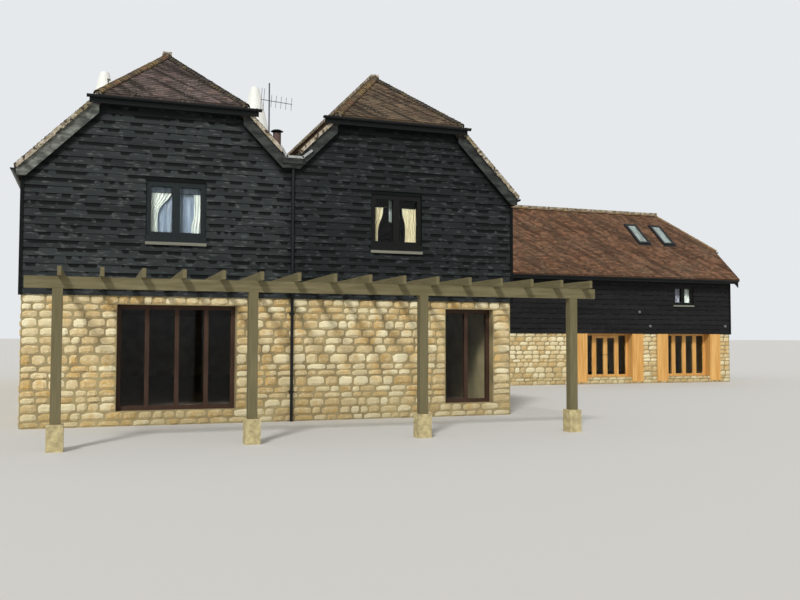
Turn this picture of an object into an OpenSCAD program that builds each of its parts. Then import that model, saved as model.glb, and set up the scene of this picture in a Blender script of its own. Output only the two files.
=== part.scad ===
// A Kent oast house: a stowage under two half-hipped gables, two round kilns
// with turning cowls behind it, a long wing with oak screens, and a pergola.
// Millimetres. The front faces -Y, the wing runs towards +X, and z = 0 is the
// lowest ground, below the wing. The origin is the middle of the front wall's foot.

/* [Stowage] */
// Distance between the centre lines of the two gables
bay_w = 5050; // [4400:10:6000]
// From a gable's centre line out to the stone face of the side wall
side_reach = 2870; // [2650:10:3300]
// Depth from the front stone face to the rear stone face
main_depth = 17800; // [17000:50:20000]
// Thickness of the ragstone walls
stone_t = 400; // [340:10:500]
// Thickness of the boarded upper walls
board_t = 200; // [150:10:260]
// How far the weatherboarding stands in front of the stone
board_proud = 25; // [15:5:45]
// Height of the stone walls of the stowage
stone_h = 2700; // [2500:10:2850]
// Height of the stowage's ground floor above the lowest ground
main_floor = 300; // [200:10:400]
// Thickness of the boarded upper floors
floor_t = 180; // [120:10:240]

/* [Stowage roofs] */
// Height of the two ridges
ridge_h = 8330; // [8000:10:8900]
// Pitch of the two main roofs, in degrees
roof_pitch = 45.5; // [43:0.5:47]
// Thickness of tiles, battens and rafters, square to the slope
roof_t = 180; // [140:5:220]
// Half width of the half-hip at its eave
hip_half = 1510; // [1300:10:1700]
// Distance of the ridge's end behind the wall face
hip_back = 1795; // [1500:5:2200]
// How far the half-hip's eave stands in front of the wall face
hip_reach = 235; // [190:5:300]
// How far the verges stand in front of the wall face
verge_reach = 150; // [110:5:180]
// How far the eaves stand out from the side walls
eave_reach = 150; // [110:5:220]
// Height of the tiles' edge above bargeboards and fascias
tile_edge = 95; // [70:5:110]
// Height of the board below the valley, between the bargeboards
valley_board_h = 130; // [90:10:200]
// Height of the tiles' tails over the fascias at the eaves
eave_lip = 50; // [40:5:70]
// How far the tiles run past bargeboards and fascias
tile_past = 35; // [20:5:50]
// Clear width of the valley between the two roofs
valley_w = 330; // [260:10:420]

/* [Boards and gutters] */
// Depth of the bargeboards, square to the slope
barge_h = 225; // [180:5:260]
// Thickness of bargeboards and fascias
barge_t = 28; // [20:1:40]
// Height of the fascia boards
fascia_h = 150; // [120:5:200]
// Radius of the half-round gutters
gutter_r = 56; // [45:1:75]
// Thickness of the gutters and downpipe
gutter_t = 4; // [3:0.5:6]
// How far the half-hip gutters run past the half-hip on its outer side
gutter_past = 210; // [100:10:260]
// The same on the side of the valley
gutter_past_in = 330; // [100:10:400]
// How far the half-hip fascias stop short of their gutters' ends
fascia_short = 55; // [20:5:80]
// Radius of the downpipe
pipe_r = 34; // [28:1:50]
// Distance of the downpipe to the right of the valley
downpipe_x = 55; // [0:5:120]

/* [Windows] */
// Centre of the left gable's window
win_left_x = -2430; // [-2800:5:-2200]
// Centre of the right gable's window
win_right_x = 2490; // [2200:5:2800]
// Width of a gable window's opening
win_w = 1240; // [1000:10:1500]
// Height of a gable window's opening
win_h = 1180; // [1000:10:1250]
// Height of a gable window's opening above the lowest ground
win_z = 3920; // [3600:10:4000]
// Depth of the window frames
frame_d = 90; // [70:5:120]
// Face width of a window's outer frame
frame_w = 62; // [45:1:80]
// Face width of a casement's stiles and rails
sash_w = 48; // [35:1:60]
// Thickness of the glass
glass_t = 8; // [4:1:12]
// Height of a window sill
sill_h = 62; // [45:1:110]
// How far a sill runs past its window on each side
sill_past = 5; // [0:5:60]
// Height of the dark apron between a gable window's frame and its sill
apron_h = 105; // [50:5:140]

/* [Ground floor screens] */
// Centre of the four-light screen in the front wall
screen_x = -2360; // [-2600:10:-2000]
// Width of one light of the screens in the front wall
light_w = 610; // [520:5:680]
// Centre of the two-light screen in the front wall
pair_x = 4330; // [4200:10:4400]
// Height of the front screens' heads above the lowest ground
screen_top = 2500; // [2300:10:2500]
// Face width of the screens' posts
post_w = 90; // [70:5:110]

/* [Kilns] */
// Outer radius of a kiln's wall
kiln_r = 2900; // [2700:10:3000]
// Centre of the left kiln
kiln_left_x = -3730; // [-3800:10:-3500]
// Centre of the right kiln
kiln_right_x = 2806; // [2600:2:2900]
// Depth to which the kilns are bonded into the rear wall
kiln_bond = 100; // [60:10:160]
// Height of the kilns' walls
kiln_h = 6830; // [6500:10:7100]
// Pitch of the conical roofs, in degrees
cone_pitch = 60; // [58:0.5:61]
// How far the conical roofs stand out from the walls
cone_reach = 110; // [80:10:180]
// Outer radius of the timber curb that crowns a cone
curb_r = 720; // [680:10:760]
// Height of the curb
curb_h = 190; // [150:10:240]

/* [Cowls] */
// Outer radius of a cowl at its foot
cowl_r = 740; // [700:10:800]
// Outer radius of a cowl at its top
cowl_top_r = 190; // [160:5:240]
// Height of a cowl
cowl_h = 2330; // [2000:10:2500]
// Thickness of the cowl's boards
cowl_t = 22; // [16:1:30]
// Running gap between a cowl's foot and the curb
cowl_gap = 30; // [20:5:60]
// Angle of the open side of a cowl, in degrees
cowl_open = 110; // [90:5:140]
// Direction of the left cowl's open side, from +X
cowl_left_turn = -12; // [-40:1:40]
// Direction of the right cowl's open side, from +X
cowl_right_turn = 82; // [40:1:140]
// Radius of the iron spindle
spindle_r = 30; // [22:1:40]

/* [Chimney and aerial] */
// Width of the brick stack
stack_w = 430; // [380:10:560]
// Height of the stack's top above the tiles at its centre line
stack_rise = 485; // [420:5:650]
// Radius of the flue
flue_r = 112; // [90:2:130]
// Height of the flue's rain cap above the stack
cap_rise = 650; // [450:10:700]
// Height of the aerial's mast above the stack
mast_rise = 1870; // [1500:10:2000]

/* [Wing] */
// Stone face of the wing's front wall
wing_y = 11335; // [11000:5:11700]
// Stone face of the wing's end wall
wing_x = 21710; // [21500:10:22500]
// Height of the wing's stone walls
wing_stone_h = 2060; // [2000:10:2120]
// Height of the wing's floor and of the screens' threshold
wing_floor = 270; // [220:10:300]
// Height of the wing's ridge
wing_ridge_h = 7500; // [7300:10:7700]
// Height of the tiles at the wing's eaves
wing_eave_h = 4370; // [4250:10:4500]
// How far the wing's eaves stand out from the stone
wing_eave_reach = 410; // [340:10:460]
// How far the wing's verge stands out from the end wall
wing_verge_reach = 240; // [190:5:280]
// How far the half-hip's eave stands out beyond the verge
wing_hip_past = 85; // [60:5:100]
// Half width of the half-hip at the wing's end
wing_hip_half = 2000; // [1700:10:2200]
// Distance of the ridge's end behind the end wall's face
wing_hip_back = 1460; // [1300:10:1700]

/* [Oak screens] */
// Centre of the screen with the doors
door_x = 15740; // [15640:10:15840]
// Centre of the fixed screen
fixed_x = 19610; // [19540:10:19680]
// Clear width between the wide oak posts
oak_clear = 2120; // [1980:10:2200]
// Face width of the wide oak posts
oak_w = 530; // [440:10:560]
// Height of the oak posts' feet above the lowest ground
oak_foot = 80; // [50:10:150]
// How far the oak stands in front of the stone
oak_proud = 40; // [20:5:60]
// Distance of the screens behind the face of the oak
oak_recess = 350; // [300:5:360]
// Thickness of the screens and of the door leaves
leaf_t = 60; // [45:1:70]
// Face width of the screens' mullions
mullion_w = 180; // [150:2:200]
// Height of the screens' and leaves' rails
rail_h = 100; // [80:1:140]
// Running gap round the door leaves
leaf_gap = 6; // [5:0.5:10]
// Radius of the door hinges' knuckles
hinge_r = 8; // [6:0.5:10]
// Height of one half of a hinge
hinge_h = 45; // [30:1:60]

/* [Wing windows] */
// Centre of the wing's window
wing_win_x = 19345; // [19000:5:19600]
// Width of the wing's window
wing_win_w = 1010; // [900:10:1200]
// Height of the wing's window
wing_win_h = 800; // [600:10:880]
// Height of the wing window's opening above the lowest ground
wing_win_z = 3240; // [3150:10:3350]
// Centre of the left roof window
skylight_a_x = 18435; // [18300:5:18500]
// Centre of the right roof window
skylight_b_x = 19710; // [19600:5:19800]
// Width of a roof window
skylight_w = 610; // [550:10:780]
// Length of a roof window down the slope
skylight_l = 1450; // [1200:10:1500]
// Width of a roof window's frame
skylight_frame = 115; // [60:5:140]
// Height of a roof window's lower edge
skylight_z = 5930; // [5800:10:6000]

/* [Wall lamps] */
// Radius of a wall lamp
lamp_r = 55; // [40:1:70]
// How far a wall lamp stands out from the boards
lamp_d = 60; // [40:5:100]
// Distance of the high lamp to the right of the doors
lamp_high_x = 1400; // [1200:10:1700]
// Height of the high lamp above the stone
lamp_high_z = 870; // [700:10:1000]
// Distance of the low lamp to the right of the doors
lamp_low_x = 1916; // [1800:2:2300]
// Height of the low lamp above the stone
lamp_low_z = 290; // [200:10:400]
// Distance of the end lamp from the wing's end
lamp_end_x = 260; // [180:10:400]
// Height of the end lamp above the stone
lamp_end_z = 310; // [200:10:400]

/* [Pergola] */
// Distance of the post line in front of the front wall's centre
pergola_y = 4000; // [3600:10:4400]
// Centre of the left post
pergola_x = -4590; // [-4800:10:-4400]
// Distance between the posts
pergola_bay = 3135; // [3000:5:3200]
// Width of the square posts
pergola_post = 160; // [120:5:200]
// Height of the beam's underside
pergola_h = 2600; // [2560:10:2640]
// Height of the beam
beam_h = 190; // [150:5:240]
// Thickness of the beam
beam_t = 110; // [80:5:140]
// Distance between the rafters
rafter_gap = 640; // [560:5:720]
// Height of a rafter
rafter_h = 145; // [100:5:180]
// Thickness of a rafter
rafter_t = 60; // [40:5:80]
// Width of the stone pads
pad_w = 260; // [220:10:400]
// Height of the stone pads
pad_h = 430; // [360:10:500]

/* [Hidden] */
$fn = 48;
far = 60000;
// Fitting gap between pieces that meet on a sloping or curved face
fit = 0.5;
gable_x = bay_w / 2;
stone_x = gable_x + side_reach;
board_x = stone_x + board_proud;
front_y = -stone_t / 2;
rear_y = front_y + main_depth;
front_face = front_y - board_proud;
rear_face = rear_y + board_proud;
slope = tan(roof_pitch);
roof_v = roof_t / cos(roof_pitch);
hip_eave_h = ridge_h - hip_half * slope;
hip_slope = hip_half * slope / (hip_back + hip_reach);
hip_v = roof_t * sqrt(1 + hip_slope * hip_slope);
eave_d = side_reach + board_proud + eave_reach;
valley_d = gable_x - valley_w / 2;
valley_top = ridge_h - valley_d * slope;
valley_seat = valley_top - roof_v;
valley_foot = valley_seat - valley_board_h;
wing_rear_y = rear_y;
wing_mid_y = (wing_y + wing_rear_y) / 2;
wing_half = wing_mid_y - wing_y;
wing_slope = (wing_ridge_h - wing_eave_h) / (wing_half + wing_eave_reach);
wing_v = roof_t * sqrt(1 + wing_slope * wing_slope);
wing_hip_eave_h = wing_ridge_h - wing_hip_half * wing_slope;
wing_hip_slope = wing_hip_half * wing_slope / (wing_hip_back + wing_verge_reach + wing_hip_past);
wing_hip_v = roof_t * sqrt(1 + wing_hip_slope * wing_hip_slope);
kiln_y = rear_y + kiln_r - kiln_bond;
cone_r = kiln_r + cone_reach;
cone_top = kiln_h + (cone_r - curb_r) * tan(cone_pitch);
cowl_z = cone_top + curb_h + cowl_gap;
screen_y = wing_y - oak_proud + oak_recess;
light_p = oak_clear / 4;
leaf_w = light_p - 1.5 * leaf_gap;
leaf_z = wing_floor + leaf_gap;
leaf_h = wing_stone_h - rail_h - leaf_gap - leaf_z;
hip_edge = hip_eave_h - hip_v;
eave_top = ridge_h - eave_d * slope;
eave_edge = eave_top - roof_v;
wing_edge = wing_eave_h - wing_v;
wing_hip_edge = wing_hip_eave_h - wing_hip_v;
wing_hip_x = wing_x + wing_verge_reach + wing_hip_past;
barge_v = barge_h / cos(roof_pitch);
wing_barge_v = barge_h * sqrt(1 + wing_slope * wing_slope);

black = [0.12, 0.12, 0.12];
stone = [0.76, 0.70, 0.52];
tile = [0.45, 0.33, 0.27];
oak = [0.82, 0.58, 0.30];
grey_oak = [0.50, 0.46, 0.40];
pane = [0.62, 0.72, 0.75, 0.5];

// An outline in X and Z, carried along Y from a to b
module along_y(a, b) {
    translate([0, b, 0])
        rotate([90, 0, 0])
            linear_extrude(b - a)
                children();
}

// An outline in Y and Z, carried along X from a to b
module along_x(a, b) {
    translate([a, 0, 0])
        rotate([90, 0, 90])
            linear_extrude(b - a)
                children();
}

// A box given by its lowest and highest corners
module block(a, b) {
    translate(a)
        cube(b - a);
}

// All that lies below one stowage roof, dropped by the thickness of the covering
module under_roof(cx, drop, hip_drop) {
    intersection() {
        along_y(front_face - 2 * hip_back, rear_face + 2 * hip_back)
            polygon([[cx - far, ridge_h - far * slope - drop], [cx, ridge_h - drop],
                [cx + far, ridge_h - far * slope - drop], [cx + far, -far], [cx - far, -far]]);
        along_x(cx - far, cx + far)
            polygon([[front_face + hip_back - far, ridge_h - far * hip_slope - hip_drop],
                [front_face + hip_back, ridge_h - hip_drop],
                [rear_face - hip_back, ridge_h - hip_drop],
                [rear_face - hip_back + far, ridge_h - far * hip_slope - hip_drop],
                [rear_face - hip_back + far, -far], [front_face + hip_back - far, -far]]);
    }
}

// All that lies below a pair of slopes, carried along Y from a to b
module below_slopes(cx, drop, a, b) {
    along_y(a, b)
        polygon([[cx - far, ridge_h - far * slope - drop], [cx, ridge_h - drop],
            [cx + far, ridge_h - far * slope - drop], [cx + far, -far], [cx - far, -far]]);
}

// The room for bargeboards and fascias under the tiles' edge, t deep from it
module board_rebate(cx, t) {
    intersection() {
        union() {
            below_slopes(cx, tile_edge, front_face - verge_reach - 1, front_face - verge_reach + t);
            below_slopes(cx, tile_edge, rear_face + verge_reach - t, rear_face + verge_reach + 1);
        }
        block([cx - far, -far, -far], [cx + far, far, hip_eave_h - tile_edge]);
    }
    block([cx - far, front_face - hip_reach - 1, -far],
        [cx + far, front_face - hip_reach + t, hip_eave_h - eave_lip]);
    block([cx - far, rear_face + hip_reach - t, -far],
        [cx + far, rear_face + hip_reach + 1, hip_eave_h - eave_lip]);
    block([cx - eave_d - 1, -far, -far], [cx - eave_d + t, far, eave_top - eave_lip]);
    block([cx + eave_d - t, -far, -far], [cx + eave_d + 1, far, eave_top - eave_lip]);
}

// One half-hipped roof of the stowage, side = -1 left or 1 right
module stowage_roof(side) {
    cx = side * gable_x;
    inner = cx - side * valley_d;
    outer = cx + side * eave_d;
    color(tile)
        difference() {
            intersection() {
                under_roof(cx, 0, 0);
                union() {
                    block([min(inner, outer), front_face - verge_reach, eave_edge - 1],
                        [max(inner, outer), rear_face + verge_reach, ridge_h + 1]);
                    block([cx - hip_half, front_face - hip_reach, hip_edge - 1],
                        [cx + hip_half, rear_face + hip_reach, ridge_h + 1]);
                }
            }
            under_roof(cx, roof_v, hip_v);
            board_rebate(cx, tile_past + barge_t);
            kiln_body(kiln_left_x);
            kiln_body(kiln_right_x);
        }
}

module left_roof() stowage_roof(-1);
module right_roof() stowage_roof(1);

// The space under the roofs that a wall may fill, with a flat seat at the valley
module wall_room() {
    under_roof(-gable_x, roof_v, hip_v);
    under_roof(gable_x, roof_v, hip_v);
    block([-valley_w / 2, front_face - 10, -10], [valley_w / 2, rear_face + 10, valley_seat]);
}

// The hole for a gable window
module window_hole(x, y) {
    block([x - win_w / 2, y - 500, win_z], [x + win_w / 2, y + 500, win_z + win_h]);
}

// A boarded gable, side = -1 left or 1 right, from depth a to b
module gable(side, a, b) {
    intersection() {
        wall_room();
        block([min(0, side * board_x), a, stone_h], [max(0, side * board_x), b, ridge_h]);
    }
}

module front_gable(side, x) {
    color(black)
        difference() {
            gable(side, front_face, front_face + board_t);
            window_hole(x, front_face + board_t / 2);
        }
}

module front_left_gable() front_gable(-1, win_left_x);
module front_right_gable() front_gable(1, win_right_x);
module rear_left_gable() color(black) gable(-1, rear_face - board_t, rear_face);
module rear_right_gable() color(black) gable(1, rear_face - board_t, rear_face);

module side_boards(side) {
    color(black)
        intersection() {
            wall_room();
            block([side > 0 ? board_x - board_t : -board_x, front_face + board_t, stone_h],
                [side > 0 ? board_x : board_t - board_x, rear_face - board_t, ridge_h]);
        }
}

module left_side_boards() side_boards(-1);
module right_side_boards() side_boards(1);

module front_wall() {
    color(stone)
        difference() {
            block([-stone_x, front_y, 0], [stone_x, front_y + stone_t, stone_h]);
            block([screen_x - 2 * light_w, front_y - 1, main_floor],
                [screen_x + 2 * light_w, front_y + stone_t + 1, screen_top]);
            block([pair_x - light_w, front_y - 1, main_floor],
                [pair_x + light_w, front_y + stone_t + 1, screen_top]);
        }
}

module rear_wall() {
    color(stone)
        block([-stone_x, rear_y - stone_t, 0], [stone_x, rear_y, stone_h]);
}

module left_wall() {
    color(stone)
        block([-stone_x, front_y + stone_t, 0], [stone_t - stone_x, rear_y - stone_t, stone_h]);
}

module right_wall() {
    color(stone)
        block([stone_x - stone_t, front_y + stone_t, 0], [stone_x, rear_y - stone_t, stone_h]);
}

// The solid ground floors of the stowage and the wing
module ground_floor() {
    color([0.60, 0.57, 0.52]) {
        block([stone_t - stone_x, front_y + stone_t, 0],
            [stone_x - stone_t, rear_y - stone_t, main_floor]);
        block([stone_x, wing_y + stone_t, 0],
            [wing_x - stone_t, wing_rear_y - stone_t, wing_floor]);
    }
}

// The boarded upper floors, carried by the stone walls
module upper_floor() {
    color([0.55, 0.42, 0.30]) {
        block([board_t - board_x, front_face + board_t, stone_h],
            [board_x - board_t, rear_face - board_t, stone_h + floor_t]);
        block([board_x, wing_y - board_proud + board_t, wing_stone_h],
            [wing_x + board_proud - board_t, wing_rear_y + board_proud - board_t, wing_stone_h + floor_t]);
    }
}

// The sloping boards under one stowage roof's verge, from depth a to b, their feet cut level
module barge_pair(side, a, b) {
    cx = side * gable_x;
    eave_foot = eave_top - eave_lip - fascia_h;
    top = hip_eave_h - tile_edge - fit;
    left = side < 0 ? eave_d - tile_past : valley_d;
    right = side < 0 ? valley_d : eave_d - tile_past;
    difference() {
        intersection() {
            below_slopes(cx, tile_edge + fit, a, b);
            union() {
                block([cx - left, a - 1, side < 0 ? eave_foot : valley_foot], [cx, b + 1, top]);
                block([cx, a - 1, side < 0 ? valley_foot : eave_foot], [cx + right, b + 1, top]);
            }
        }
        below_slopes(cx, tile_edge + barge_v, a - 1, b + 1);
        block([cx - hip_half + tile_past, a - 1, 0], [cx + hip_half - tile_past, b + 1, ridge_h]);
    }
}

// The boards under the wing's end verge
module wing_barge() {
    a = wing_x + wing_verge_reach - tile_past - barge_t;
    difference() {
        intersection() {
            under_wing(tile_edge + fit, 0);
            block([a, wing_y - wing_eave_reach + tile_past, 0],
                [a + barge_t, wing_rear_y + wing_eave_reach - tile_past, wing_hip_eave_h - tile_edge - fit]);
        }
        under_wing(tile_edge + wing_barge_v, 0);
        block([a - 1, wing_mid_y - wing_hip_half + tile_past, 0],
            [a + barge_t + 1, wing_mid_y + wing_hip_half - tile_past, wing_ridge_h]);
    }
}

// The level board that closes the front of the valley between the bargeboards
module valley_board() {
    a = front_face - verge_reach + tile_past - 3;
    block([fit - valley_w / 2, a, valley_foot], [valley_w / 2 - fit, a + barge_t, valley_seat - fit]);
}

module bargeboards() {
    color(black) {
        valley_board();
        for (side = [-1, 1]) {
            barge_pair(side, front_face - verge_reach + tile_past,
                front_face - verge_reach + tile_past + barge_t);
            difference() {
                barge_pair(side, rear_face + verge_reach - tile_past - barge_t,
                    rear_face + verge_reach - tile_past);
                kiln_body(kiln_left_x);
                kiln_body(kiln_right_x);
            }
        }
        wing_barge();
    }
}

// Half of a disc, the round side down
module half_disc(r) {
    intersection() {
        circle(r);
        translate([-r, -r])
            square([2 * r, r]);
    }
}

// A half-round gutter with stop ends along X from a to b, its back edge at y
module gutter_x(a, b, y, z, dir) {
    difference() {
        along_x(a, b)
            translate([y + dir * gutter_r, z])
                half_disc(gutter_r);
        along_x(a + gutter_t, b - gutter_t)
            translate([y + dir * gutter_r, z])
                circle(gutter_r - gutter_t);
    }
}

// The same along Y, its back edge at x
module gutter_y(a, b, x, z, dir) {
    difference() {
        along_y(a, b)
            translate([x + dir * gutter_r, z])
                half_disc(gutter_r);
        along_y(a + gutter_t, b - gutter_t)
            translate([x + dir * gutter_r, z])
                circle(gutter_r - gutter_t);
    }
}

// How far a half-hip's gutter reaches to the left and right of its ridge's line
function hip_gutter_left(side) = hip_half + (side < 0 ? gutter_past : gutter_past_in);
function hip_gutter_right(side) = hip_half + (side < 0 ? gutter_past_in : gutter_past);

// The fascia boards behind the gutters, nailed to the feet of the rafters
module fascias() {
    back = tile_past + barge_t - fit;
    past_barge = tile_past + barge_t + fit;
    hip_z = hip_eave_h - eave_lip - fit;
    eave_z = eave_top - eave_lip - fit;
    wing_z = wing_eave_h - eave_lip - fit;
    wing_hip_z = wing_hip_eave_h - eave_lip - fit;
    color(black) {
        for (side = [-1, 1]) {
            cx = side * gable_x;
            block([cx - hip_gutter_left(side) + fascia_short, front_face - hip_reach + tile_past,
                hip_z - fascia_h],
                [cx + hip_gutter_right(side) - fascia_short, front_face - hip_reach + back, hip_z]);
            out = gable_x + eave_d;
            block([side > 0 ? out - back : tile_past - out, front_face - verge_reach + past_barge,
                eave_z - fascia_h],
                [side > 0 ? out - tile_past : back - out,
                side > 0 ? wing_y - wing_eave_reach - 2 * gutter_r : rear_face, eave_z]);
        }
        block([board_x, wing_y - wing_eave_reach + tile_past, wing_z - fascia_h],
            [wing_x + wing_verge_reach - past_barge, wing_y - wing_eave_reach + back, wing_z]);
        block([board_x, wing_rear_y + wing_eave_reach - back, wing_z - fascia_h],
            [wing_x + wing_verge_reach - past_barge, wing_rear_y + wing_eave_reach - tile_past, wing_z]);
        block([wing_hip_x - back, wing_mid_y - wing_hip_half, wing_hip_z - fascia_h],
            [wing_hip_x - tile_past, wing_mid_y + wing_hip_half, wing_hip_z]);
    }
}

module gutters() {
    drop = eave_lip + 8;
    color(black) {
        for (side = [-1, 1]) {
            cx = side * gable_x;
            out = side * (gable_x + eave_d - tile_past);
            gutter_x(cx - hip_gutter_left(side), cx + hip_gutter_right(side),
                front_face - hip_reach + tile_past, hip_eave_h - drop, -1);
            gutter_y(front_face - verge_reach + 60,
                side > 0 ? wing_y - wing_eave_reach - 2 * gutter_r : rear_face,
                out, eave_top - drop, side);
        }
        gutter_x(gable_x + eave_d + gutter_r, wing_x + wing_verge_reach - 60,
            wing_y - wing_eave_reach + tile_past, wing_eave_h - drop, -1);
        gutter_x(board_x + 40, wing_x + wing_verge_reach - 60,
            wing_rear_y + wing_eave_reach - tile_past, wing_eave_h - drop, 1);
        gutter_y(wing_mid_y - wing_hip_half - 60, wing_mid_y + wing_hip_half + 60,
            wing_hip_x - tile_past, wing_hip_eave_h - drop, 1);
    }
}

// The lead-lined valley gutter with its end boards
module valley_gutter() {
    color([0.45, 0.46, 0.47])
        difference() {
            block([-valley_w / 2, front_face - verge_reach, valley_seat],
                [valley_w / 2, rear_face + verge_reach, valley_top - 60]);
            block([20 - valley_w / 2, front_face - verge_reach - 1, valley_seat + 30],
                [valley_w / 2 - 20, rear_face + verge_reach + 1, valley_top]);
        }
}

// The downpipe from the valley, down the front between the gables
module downpipe() {
    color(black)
        translate([downpipe_x, front_face - pipe_r - 20, 0]) {
            cylinder(h = valley_seat - 60, r = pipe_r, $fn = 32);
            for (i = [0 : 2])
                translate([-pipe_r - 20, -pipe_r / 2, valley_seat * (0.11 + 0.3 * i)])
                    cube([2 * pipe_r + 40, pipe_r * 1.5 + 20, 40]);
        }
}

// A two-light window frame with its casements, opening w by h at x, z
module two_light(x, y, z, w, h) {
    difference() {
        block([x - w / 2, y, z], [x + w / 2, y + frame_d, z + h]);
        for (s = [-1, 1])
            block([s > 0 ? x + frame_w / 2 + sash_w : x - w / 2 + frame_w + sash_w, y - 1,
                z + frame_w + sash_w],
                [s > 0 ? x + w / 2 - frame_w - sash_w : x - frame_w / 2 - sash_w, y + frame_d + 1,
                z + h - frame_w - sash_w]);
    }
}

module two_light_glass(x, y, z, w, h) {
    for (s = [-1, 1])
        block([s > 0 ? x + frame_w / 2 + sash_w : x - w / 2 + frame_w + sash_w,
            y + (frame_d - glass_t) / 2, z + frame_w + sash_w],
            [s > 0 ? x + w / 2 - frame_w - sash_w : x - frame_w / 2 - sash_w,
            y + (frame_d + glass_t) / 2, z + h - frame_w - sash_w]);
}

// The apron that closes the boards below a gable window, tied to the frame's foot
module apron(x) {
    block([x - win_w / 2, front_face - 30, win_z - apron_h], [x + win_w / 2, front_face, win_z + 30]);
    block([x - win_w / 2, front_face - 1, win_z], [x + win_w / 2, front_face + 21, win_z + 30]);
}

module window_frames() {
    color(black) {
        for (x = [win_left_x, win_right_x]) {
            two_light(x, front_face + 20, win_z, win_w, win_h);
            apron(x);
        }
        two_light(wing_win_x, wing_y - board_proud + 20, wing_win_z, wing_win_w, wing_win_h);
    }
}

module window_glass() {
    color(pane) {
        for (x = [win_left_x, win_right_x])
            two_light_glass(x, front_face + 20, win_z, win_w, win_h);
        two_light_glass(wing_win_x, wing_y - board_proud + 20, wing_win_z, wing_win_w, wing_win_h);
    }
}

// The sills, fixed to the boards below each window
module window_sills() {
    color([0.62, 0.61, 0.57]) {
        for (x = [win_left_x, win_right_x])
            block([x - win_w / 2 - sill_past, front_face - 60, win_z - apron_h - sill_h],
                [x + win_w / 2 + sill_past, front_face, win_z - apron_h - fit]);
        block([wing_win_x - wing_win_w / 2 - sill_past, wing_y - board_proud - 60, wing_win_z - sill_h],
            [wing_win_x + wing_win_w / 2 + sill_past, wing_y - board_proud, wing_win_z]);
    }
}

// A glazed screen of n lights, each w wide, from z to top
module screen(x, y, z, top, n, w, d) {
    difference() {
        block([x - n * w / 2, y, z], [x + n * w / 2, y + d, top]);
        for (i = [0 : n - 1])
            block([x - n * w / 2 + i * w + (i == 0 ? post_w : post_w / 2), y - 1, z + post_w],
                [x - n * w / 2 + (i + 1) * w - (i == n - 1 ? post_w : post_w / 2), y + d + 1, top - post_w]);
    }
}

module screen_glass(x, y, z, top, n, w, d) {
    for (i = [0 : n - 1])
        block([x - n * w / 2 + i * w + (i == 0 ? post_w : post_w / 2), y + (d - glass_t) / 2, z + post_w],
            [x - n * w / 2 + (i + 1) * w - (i == n - 1 ? post_w : post_w / 2),
            y + (d + glass_t) / 2, top - post_w]);
}

module front_screens() {
    color([0.42, 0.28, 0.20]) {
        screen(screen_x, front_y + stone_t / 2, main_floor, screen_top, 4, light_w, frame_d);
        screen(pair_x, front_y + stone_t / 2, main_floor, screen_top, 2, light_w, frame_d);
    }
}

module front_screen_glass() {
    color(pane) {
        screen_glass(screen_x, front_y + stone_t / 2, main_floor, screen_top, 4, light_w, frame_d);
        screen_glass(pair_x, front_y + stone_t / 2, main_floor, screen_top, 2, light_w, frame_d);
    }
}

// All that one kiln and its roof take up
module kiln_body(x) {
    translate([x, kiln_y, 0])
        rotate_extrude($fn = 96)
            polygon([[0, 0], [kiln_r + fit, 0], [kiln_r + fit, kiln_h - fit],
                [cone_r + 2 * fit, kiln_h - fit],
                [cone_r + 2 * fit, kiln_h + fit],
                [0, kiln_h + fit + (cone_r + 2 * fit) * tan(cone_pitch)]]);
}

// A kiln's round wall in eight segments, cut back where the stowage stands
module kiln_wall(x) {
    color(stone)
        difference() {
            translate([x, kiln_y, 0])
                for (i = [0 : 7])
                    rotate([0, 0, 45 * i])
                        rotate_extrude(angle = 44.98, $fn = 96)
                            translate([kiln_r - stone_t, 0])
                                square([stone_t, kiln_h]);
            block([x - kiln_r, rear_y - stone_t, -1], [x + kiln_r, rear_y, stone_h]);
            block([x - kiln_r, rear_y - stone_t, stone_h - 1], [x + kiln_r, rear_face, kiln_h + 1]);
        }
}

module left_kiln_wall() kiln_wall(kiln_left_x);
module right_kiln_wall() kiln_wall(kiln_right_x);

// A kiln's conical roof, open at the top inside the curb
module kiln_roof(x) {
    skin = roof_t / cos(cone_pitch);
    color(tile)
        difference() {
            translate([x, kiln_y, 0])
                rotate_extrude($fn = 96)
                    polygon([[cone_r, kiln_h + fit], [curb_r, cone_top],
                        [curb_r - 150, cone_top], [curb_r - 150, cone_top - skin + 150 * tan(cone_pitch)],
                        [cone_r - roof_t / sin(cone_pitch), kiln_h + fit]]);
            block([x - cone_r, rear_y - cone_r, kiln_h - 1], [x + cone_r, rear_face, cone_top]);
        }
}

module left_kiln_roof() kiln_roof(kiln_left_x);
module right_kiln_roof() kiln_roof(kiln_right_x);

// The curb on a cone, with cross timbers and the spindle that carries the cowl
module cowl_curb(x) {
    translate([x, kiln_y, cone_top]) {
        difference() {
            cylinder(h = curb_h, r = curb_r, $fn = 64);
            translate([0, 0, -1])
                cylinder(h = curb_h + 2, r = curb_r - 150, $fn = 64);
        }
        intersection() {
            cylinder(h = 120, r = curb_r - 100, $fn = 64);
            union() {
                block([-curb_r, -60, 0], [curb_r, 60, 120]);
                block([-60, -curb_r, 0], [60, curb_r, 120]);
            }
        }
        cylinder(h = curb_h + cowl_gap + cowl_h - 60.3, r = spindle_r);
    }
}

module cowl_curbs() {
    color([0.85, 0.84, 0.80]) {
        cowl_curb(kiln_left_x);
        cowl_curb(kiln_right_x);
    }
}

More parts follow.
